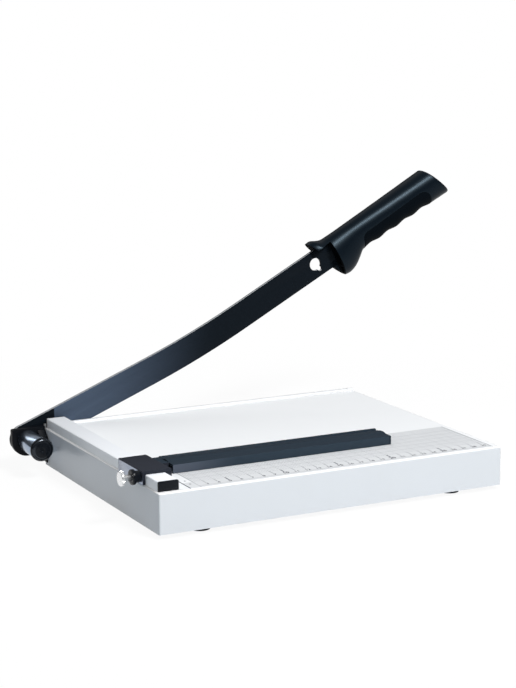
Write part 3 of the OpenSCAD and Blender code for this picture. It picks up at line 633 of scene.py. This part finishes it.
def rounded_copy(node: str, name: str, width: float, degrees: float = 30) -> Piece:
    """Copy a node's mesh and round its sharp edges.

    Args:
        node: Node to copy.
        name: Name of the new piece.
        width: Width of the rounding in metres.
        degrees: Least angle of an edge that is rounded.

    Returns:
        The new piece.
    """
    piece = bpy.data.objects.new(name, frame["nodes"][node].data.copy())
    bpy.context.scene.collection.objects.link(piece)
    activate(piece)
    bpy.ops.mesh.customdata_custom_splitnormals_clear()
    with editing(piece):
        bpy.ops.mesh.remove_doubles(threshold=WELD)
        bpy.ops.mesh.dissolve_limited(angle_limit=FLAT)
    modified(piece, "BEVEL", width=width, segments=EDGE_STEPS, limit_method="ANGLE",
             angle_limit=math.radians(degrees), use_clamp_overlap=True)
    smooth(piece)
    return piece


def dress(piece: Piece, finish: Finish, body: Body, slot: str, *nodes: str) -> Piece:
    """Give a new piece its finish and its body.

    Args:
        piece: The piece.
        finish: Its finish.
        body: Body that it rides on.
        slot: Material slot of the record; not used.
        *nodes: Nodes that it stands for.

    Returns:
        The piece.
    """
    piece.data.materials.clear()
    piece.data.materials.append(finish.material())
    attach(piece, body.value)
    if nodes:
        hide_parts(*nodes)
    LOG.info("%s: %d faces on %s", piece.name, len(piece.data.polygons), body.value)
    return piece


def recast(node: str, name: str, width: float, finish: Finish, body: Body, slot: str) -> Piece:
    """Put a rounded and finished copy in a node's place.

    Args:
        node: Node to copy.
        name: Name of the new piece.
        width: Width of the rounding in metres.
        finish: Its finish.
        body: Body that it rides on.
        slot: Material slot of the record.

    Returns:
        The new piece.
    """
    return dress(rounded_copy(node, name, width), finish, body, slot, node)


def accent(piece: Piece, finish: Finish, test: Callable[[Vector, Vector], bool]) -> None:
    """Give some faces of a dressed piece a second finish.

    Args:
        piece: The piece.
        finish: The second finish.
        test: Takes the normal and the centre of a face.
    """
    piece.data.materials.append(finish.material())
    last = len(piece.data.materials) - 1
    chosen = [face for face in piece.data.polygons if test(face.normal, face.center)]
    for face in chosen:
        face.material_index = last
    LOG.info("%s: %s on %d faces", piece.name, finish.name, len(chosen))


def finish_nodes(finish: Finish, *nodes: str) -> None:
    """Give nodes that keep their shape a better material.

    Args:
        finish: The finish.
        *nodes: Names of the nodes.
    """
    for node in nodes:
        for slot in frame["nodes"][node].material_slots:
            slot.material = finish.material()
        LOG.info("%s: %s", node, finish.name)


@dataclass
class Base:
    """Folded tray with its printed table, fence and feet."""

    paint: Paintbox
    film: float = 0.1 * MM
    film_edge: float = 1.8 * MM
    film_gap: float = 0.6 * MM
    film_corner: float = 3 * MM
    corner_steps: int = 6
    edge: float = 0.35 * MM
    strip_edge: float = 0.15 * MM
    centimetres: range = range(3, 30)
    bold_each: int = 5
    digit: float = 5.0 * MM
    bold_size: float = 1.15
    swell: float = 0.03 * MM
    bold_swell: float = 0.12 * MM
    digit_line: float = 8.2 * MM
    ink_thick: float = 0.02 * MM

    def build_print(self) -> None:
        """Lay the printed sheet on the table beside the fence."""
        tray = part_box("base_tray")
        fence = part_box("fence_rail")
        low = (fence[1].x + self.film_gap, tray[0].y + self.film_edge, tray[1].z)
        high = (tray[1].x - self.film_edge, tray[1].y - self.film_edge, tray[1].z + self.film)
        sheet = block(low, high)
        sheet.name = "table_sheet"
        with editing(sheet):
            pick_edges(sheet, lambda a, b: abs(a.z - b.z) > self.film / 2)
            bpy.ops.mesh.bevel(offset=self.film_corner, segments=self.corner_steps)
        dress(sheet, self.paint.print, Body.BASE, "tray_paint")

    def build_numbers(self) -> None:
        """Print the ruler's numbers along the front edge."""
        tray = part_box("base_tray")
        numbers = []
        for centimetre in self.centimetres:
            bold = centimetre % self.bold_each == 0
            bpy.ops.object.select_all(action="DESELECT")
            bpy.ops.object.text_add()
            text = bpy.context.object
            text.data.body = str(centimetre)
            text.data.size = self.digit * (self.bold_size if bold else 1.0)
            text.data.offset = self.bold_swell if bold else self.swell
            text.data.align_x = "CENTER"
            text.data.extrude = self.ink_thick
            bpy.ops.object.convert(target="MESH")
            text.location = (
                tray[0].x + (self.paint.print.ruler_zero + 10 * centimetre) * MM,
                tray[0].y + self.digit_line, tray[1].z + self.film + self.ink_thick)
            bpy.ops.object.transform_apply(location=True, rotation=True, scale=True)
            numbers.append(text)
        bpy.ops.object.select_all(action="DESELECT")
        for text in numbers:
            text.select_set(True)
        bpy.context.view_layer.objects.active = numbers[0]
        bpy.ops.object.join()
        ruler = bpy.context.object
        ruler.name = "ruler_numbers"
        dress(ruler, self.paint.ink, Body.BASE, "tray_paint")

    def build(self) -> None:
        """Dress the base."""
        paint, base = self.paint, Body.BASE
        # The tray's enamel carries a painted highlight along its folded top edges.
        finish_nodes(paint.enamel, "base_tray")
        finish_nodes(paint.rubber, "rubber_feet")
        finish_nodes(paint.zinc, "foot_screws", "foot_nuts", "fence_screws", "fixed_blade_screws")
        rail = recast("fence_rail", "fence_profile", self.edge, paint.silver, base, "rail_silver")
        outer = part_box("fence_rail")[0].x + self.edge
        # The fence's outer side gets the whiter silver: painted light.
        accent(rail, paint.rail_side, lambda normal, at: normal.x < -FACING and at.x < outer)
        for end in ("front", "rear"):
            cap, name = f"fence_cap_{end}", f"fence_end_{end}"
            recast(cap, name, self.edge, paint.black, base, "black_plastic")
        # The cutting strip gets the near-white finish: a painted highlight.
        recast("fixed_blade", "cutting_strip", self.strip_edge, paint.strip, base, "ground_steel")
        self.build_print()
        self.build_numbers()


@dataclass
class Pivot:
    """Sprung pivot at the rear left corner."""

    paint: Paintbox
    edge: float = 0.6 * MM
    tube_edge: float = 0.3 * MM
    end_edge: float = 0.4 * MM
    ring: Pair = (6.9 * MM, 8.5 * MM)
    ring_deep: float = 0.9 * MM
    ring_floor: float = 0.2 * MM
    overlap: float = 1.01
    dimple: float = 1.1 * MM
    turns: int = 64
    glint_slope: Pair = (-0.95, -0.3)
    glint_from: float = 0.1 * MM

    def peg(self, radius: float, front: Vector, deep: float, flare: float = 0.0) -> Piece:
        """Add a round tool solid that stands on the front of the tube's cap.

        Args:
            radius: Radius of the tool at the cap's front.
            front: Middle of the cap's front.
            deep: How far the tool reaches into the cap.
            flare: How much wider the tool is at its inner end.

        Returns:
            The tool.
        """
        return start(
            bpy.ops.mesh.primitive_cone_add, vertices=self.turns, radius1=radius - flare,
            radius2=radius + flare, depth=2 * deep, location=front, rotation=(-math.pi / 2, 0, 0))

    def groove(self, cap: Piece) -> None:
        """Sink a ring with a sloping inner side and a small dimple into the front of the tube's cap.

        Args:
            cap: The cap.
        """
        low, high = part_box("tube_cap")
        front = Vector(((low.x + high.x) / 2, low.y, (low.z + high.z) / 2))
        inner, outer = self.ring
        tool = self.peg(outer, front, self.ring_deep)
        core = self.peg(inner, front, self.overlap * self.ring_deep, outer - inner - self.ring_floor)
        cut(tool, core, Cut.AWAY)
        cut(cap, tool, Cut.AWAY)
        cut(cap, self.peg(self.dimple, front, self.ring_deep), Cut.AWAY)
        smooth(cap)

    def build(self) -> None:
        """Dress the pivot."""
        paint, base = self.paint, Body.BASE
        recast("pivot_bracket", "pivot_casting", self.edge, paint.cast, base, "black_cast")
        recast("spring_tube", "polished_tube", self.tube_edge, paint.chrome, base, "tube_chrome")
        cap = rounded_copy("tube_cap", "tube_end_cap", self.end_edge)
        self.groove(cap)
        dress(cap, paint.black, base, "black_plastic", "tube_cap")
        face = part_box("tube_cap")[0].y
        steep, flat = self.glint_slope
        near, deep = face + self.glint_from, face + self.ring_deep
        accent(cap, paint.glint, lambda normal, at: steep < normal.y < flat and near < at.y < deep)
        recast("pivot_bolt", "pivot_hex_bolt", self.end_edge, paint.zinc, base, "fastener_steel")
        finish_nodes(paint.zinc, "bracket_screws", "stop_pin", "blade_washer", "pressure_spring",
                     "thrust_washer", "lock_nut")


@dataclass
class Blade:
    """Long moving blade."""

    paint: Paintbox
    edge: float = 0.25 * MM
    sharp: float = 25
    spine_up: float = 0.55
    spine_back: float = 0.3

    def build(self) -> None:
        """Dress the blade."""
        blade = rounded_copy("cutter_blade", "long_blade", self.edge, degrees=self.sharp)
        # The blade's slate fades from a painted reflection near the pivot into its dark coat.
        dress(blade, self.paint.coat, Body.ARM, "blade_coat", "cutter_blade")
        # The spine's faces get the steel with the painted highlight and shade.
        accent(blade, self.paint.spine,
               lambda normal, at: normal.z > self.spine_up and normal.y < self.spine_back)


@dataclass
class Handle:
    """Moulded handle in two halves around the blade's tang, with a soft finger grip.

    Distances run along the arm from the near rim, heights stand square to it, in millimetres.
    The widths of rounded edges are in metres.
    """

    paint: Paintbox
    tilt: float = math.radians(28.3)
    lock_back: float = 21.0
    rows: tuple[tuple[float, float, float, float], ...] = (
        (-19.5, 21.4, -25.8, 13.4),
        (-14.5, 21.4, -26.2, 13.9),
        (-9, 18.4, -26.3, 14),
        (-4, 16.4, -26, 13.8),
        (4, 16.1, -24.8, 13.2),
        (12, 16.1, -22.4, 12.6),
        (20, 16.2, -18.8, 12.2),
        (28, 16.3, -14.6, 12),
        (36, 16.4, -14.2, 12),
        (66, 16.8, -14.2, 12.8),
        (106, 17.5, -14.4, 13.9),
        (121, 17.8, -14.9, 14.4),
        (131, 18, -15, 14.6),
    )
    length: float = 121.0
    roundness: float = 2.3
    end_slant: float = 0.45
    # Finger grip: its waves, its side outline, its layer and its seat in the halves
    waves_from: float = 28.0
    waves_to: float = 112.0
    waves: int = 4
    wave: float = 1.5
    grip_start: float = 25.0
    grip_end: float = 112.5
    grip_top: float = 1.2
    grip_lead: float = 7.0
    grip_rise: float = 3.0
    grip_rounds: tuple[tuple[float, int], tuple[float, int]] = ((5, 6), (10, 10))
    grip_thick: float = 2.2
    grip_proud: float = 0.2
    grip_play: float = 0.1
    seat_out: float = 4.0
    seat_play: float = 0.15
    sleeve_ends: Pair = (14.0, 119.0)
    sleeve_over: float = 2.0
    # Inside of the halves: their walls, the slots for the blade and its tang, the guard's hollow
    wall: float = 2.4
    split: float = 0.04
    blade_thick: float = 3.0
    blade_wide: float = 25.6
    blade_play: float = 0.1
    tang: Pair = (74.1, 8.1)
    tang_over: float = 1.0
    hollow: float = 16.0
    hollow_over: float = 1.0
    web: float = 2.0
    rib: float = 2.0
    rib_drop: float = 1.3
    roof_play: float = 0.4
    # How far the cutting tools stand out
    reach: float = 40.0
    long_reach: float = 60.0
    front_reach: float = 90.0
    # Fineness, the butt, the screw holes and the edges
    step: float = 2.0
    turns: int = 64
    butt_round: float = 1.0
    butt_angles: tuple[int, ...] = (20, 40, 60, 75, 90)
    screws: Pair = (44.0, 62.0)
    screw_seat: float = 6.5
    screw_hole: float = 3.7
    hole_deep: float = 20.0
    hole_turns: int = 48
    weld: float = 0.005
    sharp: float = 40
    edge: float = 0.4 * MM
    grip_edge: float = 0.3 * MM

    def place(self) -> Matrix:
        """Find the handle's frame from the lock hole in front of it.

        Returns:
            The frame, in metres.
        """
        hole = next(m for m in frame["record"]["mounts"] if m["name"] == "lock_hole")
        along = Vector((math.cos(self.tilt), 0, math.sin(self.tilt)))
        rim = Vector(hole["pos_m"]) + along * self.lock_back * MM
        return Matrix.Translation(rim) @ Matrix.Rotation(-self.tilt, 4, "Y")

    def row_value(self, distance: float, column: Column) -> float:
        """Return a smooth value of one column of the sections.

        Args:
            distance: Distance along the arm.
            column: Column of the table.

        Returns:
            The value there.
        """
        rows = self.rows
        at = Column.PLACE
        last = len(rows) - 1
        i = next((k for k in range(last) if distance < rows[k + 1][at]), last - 1)

        def slope(k: int) -> float:
            """Return the slope of the column at a row."""
            a, b = max(k - 1, 0), min(k + 1, last)
            return (rows[b][column] - rows[a][column]) / (rows[b][at] - rows[a][at])

        d = rows[i + 1][at] - rows[i][at]
        f = (distance - rows[i][at]) / d
        return (
            rows[i][column] * (2 * f**3 - 3 * f**2 + 1)
            + slope(i) * d * (f**3 - 2 * f**2 + f)
            + rows[i + 1][column] * (3 * f**2 - 2 * f**3)
            + slope(i + 1) * d * (f**3 - f**2)
        )

    def front(self) -> float:
        """Return the place of the front end."""
        return self.rows[0][Column.PLACE]

    def lean(self, distance: float) -> float:
        """Return how far a section leans: fully at both ends, not along the waves.

        Args:
            distance: Distance along the arm.

        Returns:
            Lean for each millimetre of height.
        """
        if distance < self.waves_from:
            return self.end_slant * (self.waves_from - distance) / (self.waves_from - self.front())
        if distance > self.waves_to:
            return self.end_slant * (distance - self.waves_to) / (self.length - self.waves_to)
        return 0.0

    def skin(self, distance: float, angle: float, inset: float) -> Vector:
        """Return a point of the handle's skin.

        Args:
            distance: Distance along the arm.
            angle: Angle round the section.
            inset: Depth below the skin.

        Returns:
            The point in metres, in the handle's frame.
        """
        top = self.row_value(distance, Column.TOP)
        low = self.row_value(distance, Column.LOW)
        if self.waves_from < distance < self.waves_to:
            span = self.waves_to - self.waves_from
            turn = 2 * math.pi * self.waves * (distance - self.waves_from) / span
            low += self.wave * (1 - math.cos(turn)) / 2
        half = self.row_value(distance, Column.HALF)
        power = 2 / self.roundness
        across, up = math.cos(angle), math.sin(angle)
        y = (half - inset) * math.copysign(abs(across) ** power, across)
        z = (top + low) / 2 + ((top - low) / 2 - inset) * math.copysign(abs(up) ** power, up)
        return Vector((distance + self.lean(distance) * (top - z), y, z)) * MM

    def loft(self, stations: list[Pair]) -> Piece:
        """Draw a ring out along the arm, one extrusion for each station.

        Args:
            stations: Distance and inset of each ring.

        Returns:
            The closed solid, in the handle's frame.
        """
        solid = start(
            bpy.ops.mesh.primitive_circle_add, vertices=self.turns, radius=1, fill_type="NGON")
        with editing(solid):
            for _ in stations[1:]:
                bpy.ops.mesh.extrude_region_move(TRANSFORM_OT_translate={"value": (0, 0, 1)})
            bpy.ops.mesh.select_all(action="SELECT")
            bpy.ops.mesh.fill_holes(sides=0)
        for vertex in solid.data.vertices:
            distance, inset = stations[round(vertex.co.z)]
            vertex.co = self.skin(distance, math.atan2(vertex.co.y, vertex.co.x), inset)
        with editing(solid):
            bpy.ops.mesh.normals_make_consistent(inside=False)
        return solid

    def stations(self, first: float, last: float, inset: float) -> list[Pair]:
        """List the rings of a plain loft between two distances."""
        count = max(2, round((last - first) / self.step))
        return [(first + (last - first) * k / count, inset) for k in range(count + 1)]

    def body(self) -> Piece:
        """Loft the whole handle with a rounded butt.

        Returns:
            The solid, in the handle's frame.
        """
        rings = self.stations(self.front(), self.length - self.butt_round, 0)
        for angle in map(math.radians, self.butt_angles):
            back, inset = 1 - math.sin(angle), 1 - math.cos(angle)
            rings.append((self.length - self.butt_round * back, self.butt_round * inset))
        return self.loft(rings)

    def grip_outline(self, grow: float) -> Piece:
        """Make a tall slab with the side outline of the finger grip.

        Args:
            grow: How far the outline is let out.

        Returns:
            The slab, in the handle's frame.
        """
        side = self.reach * MM
        slab = block(
            ((self.grip_start - grow) * MM, -side, -side),
            ((self.grip_end + grow) * MM, side, (self.grip_top + grow) * MM))
        middle = (self.grip_start + self.grip_end) / 2 * MM
        (front_round, front_steps), (back_round, back_steps) = self.grip_rounds

        def at_front(a: Vector, b: Vector) -> bool:
            """Tell whether an edge lies at the top of the front end."""
            return min(a.z, b.z) > 0 and max(a.x, b.x) < middle

        def at_back(a: Vector, b: Vector) -> bool:
            """Tell whether an edge lies at the top of the back end."""
            return min(a.z, b.z) > 0 and min(a.x, b.x) > middle

        with editing(slab):
            pick_edges(slab, at_front)
            bpy.ops.transform.translate(value=(self.grip_lead * MM, 0, 0))
            pick_edges(slab, at_back)
            bpy.ops.transform.translate(value=(0, 0, self.grip_rise * MM))
            bpy.ops.mesh.bevel(offset=back_round * MM, segments=back_steps)
            pick_edges(slab, at_front)
            bpy.ops.mesh.bevel(offset=front_round * MM, segments=front_steps)
        return slab

    def sleeve(self, outer: float, inner: float, grow: float) -> Piece:
        """Make the layer of the handle where the finger grip lies.

        Args:
            outer: Inset of its outer skin.
            inner: Inset of its inner skin.
            grow: How far its outline is let out.

        Returns:
            The layer, in the handle's frame.
        """
        first, last = self.sleeve_ends
        over = self.sleeve_over
        layer = self.loft(self.stations(first, last, outer))
        core = self.loft(self.stations(first - over, last + over, inner))
        cut(layer, core, Cut.AWAY)
        cut(layer, self.grip_outline(grow), Cut.COMMON)
        return layer

    def pockets(self, side: int) -> Piece:
        """Make the hollow of the guard on one side of the blade.

        Args:
            side: 1 for the outer half and -1 for the half that faces the paper.

        Returns:
            The hollow, in the handle's frame.
        """
        space = self.loft(self.stations(self.front(), self.hollow, self.wall))
        web = (self.blade_thick / 2 + self.web) * MM
        middle = -(self.blade_wide / 2 + self.rib_drop)
        roof = self.blade_wide / 2 + self.roof_play - self.wall
        out = self.long_reach * MM
        near, far = sorted((side * web, side * out))
        upper = block((-out, near, (middle + self.rib / 2) * MM), (out, far, roof * MM))
        lower = block((-out, near, -out), (out, far, (middle - self.rib / 2) * MM))
        cut(upper, lower, Cut.JOIN)
        cut(space, upper, Cut.COMMON)
        return space

    def screw_holes(self, piece: Piece) -> None:
        """Sink the round holes for the screw heads into a piece's outer side.

        Args:
            piece: Piece in the handle's frame.
        """
        deep = self.hole_deep * MM
        for distance in self.screws:
            middle = (distance * MM, self.screw_seat * MM + deep / 2, 0)
            tool = start(
                bpy.ops.mesh.primitive_cylinder_add, vertices=self.hole_turns,
                radius=self.screw_hole * MM, depth=deep, location=middle, rotation=(math.pi / 2, 0, 0))
            cut(piece, tool, Cut.AWAY)

    def half(self, side: int, name: str) -> Piece:
        """Model one half of the handle.

        Args:
            side: 1 for the outer half and -1 for the half that faces the paper.
            name: Name of the piece.

        Returns:
            The half, in the handle's frame.
        """
        shell = self.body()
        shell.name = name
        cut(shell, self.sleeve(-self.seat_out, self.grip_thick, self.seat_play), Cut.AWAY)
        with editing(shell):
            bpy.ops.mesh.bisect(
                plane_co=(0, side * self.split * MM, 0), plane_no=(0, side, 0), clear_inner=True,
                use_fill=True)
        cut(shell, self.pockets(side), Cut.AWAY)
        slot = (self.blade_thick / 2 + self.blade_play) * MM
        wide = (self.blade_wide / 2 + self.blade_play) * MM
        rim = self.blade_play * MM
        cut(shell, block((-self.long_reach * MM, -slot, -wide), (rim, slot, wide)), Cut.AWAY)
        tang_end, tang_up = (size * MM for size in self.tang)
        cut(shell, block((-self.tang_over * MM, -slot, -tang_up), (tang_end, slot, tang_up)), Cut.AWAY)
        if side < 0:
            roof = (self.blade_wide / 2 + self.roof_play) * MM
            out, ahead = self.reach * MM, self.front_reach * MM
            cut(shell, block((-ahead, -out, -ahead), (0, out, roof)), Cut.AWAY)
        else:
            self.screw_holes(shell)
        return shell

    def finished(self, piece: Piece, edge: float) -> Piece:
        """Round a piece's edges and set it in place on the arm.

        Args:
            piece: Piece in the handle's frame.
            edge: Width of the rounding in metres.

        Returns:
            The piece.
        """
        with editing(piece):
            bpy.ops.mesh.remove_doubles(threshold=self.weld * MM)
            bpy.ops.mesh.dissolve_degenerate(threshold=self.weld * MM)
        modified(piece, "BEVEL", width=edge, segments=EDGE_STEPS, limit_method="ANGLE",
                 angle_limit=math.radians(self.sharp), use_clamp_overlap=True)
        piece.data.transform(self.place())
        smooth(piece, self.sharp)
        return piece

    def inside(self, normal: Vector, at: Vector) -> bool:
        """Tell whether a face lies in the hollow of the guard.

        Args:
            normal: Normal of the face.
            at: Centre of the face in metres.

        Returns:
            Whether it lies well below the skin, near the front end.
        """
        spot = self.place().inverted() @ at / MM
        distance = spot.x - self.lean(spot.x) * (self.row_value(spot.x, Column.TOP) - spot.z)
        if not self.front() < distance < self.hollow + self.hollow_over:
            return False
        top = self.row_value(distance, Column.TOP)
        low = self.row_value(distance, Column.LOW)
        across = abs(spot.y) / (self.row_value(distance, Column.HALF) - self.wall / 2)
        up = abs(spot.z - (top + low) / 2) / ((top - low) / 2 - self.wall / 2)
        return across**self.roundness + up**self.roundness < 1

    def build(self) -> None:
        """Build the halves and the finger grip."""
        for side, end in ((-1, "near"), (1, "far")):
            half = self.finished(self.half(side, f"handle_half_{end}"), self.edge)
            dress(half, self.paint.handle, Body.ARM, "handle_plastic", f"handle_{end}")
            # Faces inside the guard's hollow get painted shade.
            accent(half, self.paint.hollow, self.inside)
        grip = self.sleeve(-self.grip_proud, self.grip_thick - self.grip_play, 0)
        grip.name = "finger_grip_pad"
        self.screw_holes(grip)
        self.finished(grip, self.grip_edge)
        dress(grip, self.paint.grip, Body.ARM, "soft_grip", "finger_grip")
        finish_nodes(self.paint.zinc, "handle_screws")


@dataclass
class PaperStop:
    """Slider on the fence with the bar that the paper is pushed against."""

    paint: Paintbox
    edge: float = 0.4 * MM
    bar_edge: float = 0.3 * MM
    collar_edge: float = 0.5 * MM
    notches: int = 40
    notch: float = 0.4 * MM
    notch_sides: int = 4
    notch_over: float = 1.3
    head: float = 3.1 * MM
    shoulder: float = 5.5 * MM
    upward: float = 0.5

    def knurl(self, screw: Piece) -> None:
        """Cut the fine notches round the thumb screw's head.

        Args:
            screw: The thumb screw.
        """
        low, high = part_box("thumb_screw")
        middle = (low + high) / 2
        at = Vector((low.x + self.head / 2, middle.y, high.z))
        first = start(
            bpy.ops.mesh.primitive_cylinder_add, vertices=self.notch_sides, radius=self.notch,
            depth=self.head * self.notch_over, location=at, rotation=(0, math.pi / 2, 0))
        centre = Matrix.Translation((0, middle.y, middle.z))
        for number in range(1, self.notches):
            turn = Matrix.Rotation(2 * math.pi * number / self.notches, 4, "X")
            copy = bpy.data.objects.new("notch", first.data.copy())
            copy.data.transform(centre @ turn @ centre.inverted())
            bpy.context.scene.collection.objects.link(copy)
            copy.select_set(True)
        bpy.ops.object.join()
        cut(screw, first, Cut.AWAY)
        smooth(screw)

    def build(self) -> None:
        """Dress the paper stop and its thumb screw."""
        paint, stop = self.paint, Body.STOP
        slider = recast("slider_saddle", "slider_body", self.edge, paint.slider, stop, "black_plastic")
        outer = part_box("slider_saddle")[0].x + self.edge
        # The slider's outer side gets the pale metal: a painted reflection.
        accent(slider, paint.cheek, lambda normal, at: normal.x < -FACING and at.x < outer)
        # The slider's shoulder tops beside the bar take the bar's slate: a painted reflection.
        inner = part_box("fence_rail")[1].x + self.shoulder
        accent(slider, paint.slate, lambda normal, at: normal.z > self.upward and at.x > inner)
        bar = recast("stop_bar", "paper_bar", self.bar_edge, paint.slate, stop, "slate_bar")
        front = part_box("stop_bar")[0].y + self.edge
        # The bar's front face takes the lighter slate: painted light.
        accent(bar, paint.slate_front, lambda normal, at: normal.y < -FACING and at.y < front)
        recast("stop_bar_plug", "paper_bar_end", self.bar_edge, paint.slate, stop, "black_plastic")
        recast("thumb_collar", "screw_collar", self.collar_edge, paint.black, stop, "black_plastic")
        screw = rounded_copy("thumb_screw", "thumb_wheel", self.bar_edge)
        self.knurl(screw)
        dress(screw, paint.nickel, Body.SCREW, "bright_steel", "thumb_screw")
        finish_nodes(paint.pale, "thumb_pad")
        finish_nodes(paint.zinc, "stop_bar_screws")


@dataclass(frozen=True)
class Lamp:
    """Soft rectangular lamp: its place and sides in metres, and its power in watts."""

    name: str
    place: tuple[float, float, float]
    sides: Pair
    power: float


@dataclass
class Studio:
    """Pale floor, soft lamps and the camera."""

    lamps: tuple[Lamp, ...] = (
        Lamp("key", (0.25, -1.5, 1.7), (0.5, 0.36), 51),
        Lamp("back", (-0.8, 2.5, 1.9), (0.7, 2.2), 12),
    )
    target: tuple[float, float, float] = (0, 0, 0.08)
    floor_size: float = 240.0
    floor_drop: float = 0.1 * MM
    floor_rough: float = 0.9
    floor_colour: Colour = (0.32, 0.38, 0.44)
    paper: Colour = (0.93, 0.93, 0.93)
    floor_white: Pair = (0.93, 1.0)
    white_from: Pair = (0.25, 0.6)
    brightness: Pair = (0.09, 0.42)
    canopy_rise: Pair = (0.34, 0.46)
    sky: Colour = (0.98, 0.99, 1.0)
    eye: tuple[float, float, float] = (-0.56782, -1.2879, 0.43)
    azimuth: float = 0.47029194
    elevation: float = 0.19298159
    roll: float = -0.00595202
    focal_pixels: float = 1880.243
    image_width: float = 516
    sensor: float = 36.0
    clip_end: float = 200.0

    def hang(self, lamp: Lamp) -> None:
        """Hang a lamp so that it faces the target.

        Args:
            lamp: The lamp.
        """
        data = bpy.data.lights.new(lamp.name, "AREA")
        data.shape = "RECTANGLE"
        data.size, data.size_y = lamp.sides
        data.energy = lamp.power
        hung = bpy.data.objects.new(lamp.name, data)
        hung.location = lamp.place
        aim = Vector(self.target) - Vector(lamp.place)
        hung.rotation_euler = aim.to_track_quat("-Z", "Y").to_euler()
        bpy.context.scene.collection.objects.link(hung)

    def floor(self) -> None:
        """Lay the pale floor, white to the eye, which keeps the shadow."""
        bpy.ops.object.select_all(action="DESELECT")
        bpy.ops.mesh.primitive_plane_add(size=self.floor_size, location=(0, 0, -self.floor_drop))
        floor = bpy.context.object
        floor.name = "studio_floor"
        graph = Graph(bpy.data.materials.new("studio_floor"))
        graph.fill(graph.shader.inputs, {
            "Base Color": scaled(self.floor_colour, 1.0),
            "Roughness": self.floor_rough,
            "Specular IOR Level": 0.0,
        })
        paper = graph.add("ShaderNodeBsdfDiffuse", {"Color": scaled(self.paper, 1.0)})
        white = graph.add("ShaderNodeEmission", {})
        away = graph.add("ShaderNodeVectorMath", {0: graph.places["Object"]}, operation="LENGTH")
        rise = graph.ramp(away["Value"], self.white_from, self.floor_white)
        path = graph.add("ShaderNodeLightPath", {})
        seen = graph.either(path["Is Camera Ray"], path["Is Glossy Ray"])
        seen = graph.either(seen, path["Is Transmission Ray"])
        pale = graph.mix(rise, paper[0], white[0])
        mixed = graph.mix(seen, graph.shader.outputs[0], pale)
        graph.fill(graph.nodes["Material Output"].inputs, {"Surface": mixed})
        floor.data.materials.append(graph.owner)

    def world(self) -> None:
        """Light the room: dim near the horizon, with a bright canopy above."""
        world = bpy.data.worlds.new("studio")
        bpy.context.scene.world = world
        graph = Graph(world)
        glow = graph.ramp(graph.axis("Z", "Generated"), self.canopy_rise, self.brightness)
        sky = {"Color": scaled(self.sky, 1.0), "Strength": glow}
        graph.fill(graph.nodes["Background"].inputs, sky)

    def camera(self) -> None:
        """Set the camera where the photograph was taken from."""
        cos, sin = math.cos, math.sin
        ahead = Vector((sin(self.azimuth) * cos(self.elevation), cos(self.azimuth) * cos(self.elevation),
                        -sin(self.elevation)))
        right = Vector((cos(self.azimuth), -sin(self.azimuth), 0))
        up = right.cross(ahead)
        turned = cos(self.roll) * right + sin(self.roll) * up
        raised = cos(self.roll) * up - sin(self.roll) * right
        data = bpy.data.cameras.new("camera")
        data.sensor_fit = "HORIZONTAL"
        data.sensor_width = self.sensor
        data.lens = self.focal_pixels / self.image_width * self.sensor
        data.clip_end = self.clip_end
        camera = bpy.data.objects.new("camera", data)
        turn = Matrix((turned, raised, -ahead)).transposed().to_4x4()
        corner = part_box("base_tray")[0]
        eye = Vector((corner.x, corner.y, 0)) + Vector(self.eye)
        camera.matrix_world = Matrix.Translation(eye) @ turn
        bpy.context.scene.collection.objects.link(camera)
        bpy.context.scene.camera = camera

    def build(self) -> None:
        """Set up the studio."""
        self.camera()
        self.floor()
        self.world()
        for lamp in self.lamps:
            self.hang(lamp)
        bpy.context.scene.view_settings.view_transform = "Standard"


def main() -> None:
    """Build the studio and dress every sub-assembly in turn."""
    logging.basicConfig(level=logging.INFO, format="%(name)s: %(message)s")
    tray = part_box("base_tray")[0]
    paint = Paintbox(Vector((tray.x, tray.y, 0)))
    for part in (Studio(), Base(paint), Pivot(paint), Blade(paint), Handle(paint), PaperStop(paint)):
        LOG.info("building %s", type(part).__name__)
        part.build()


if __name__ == "__main__":
    main()
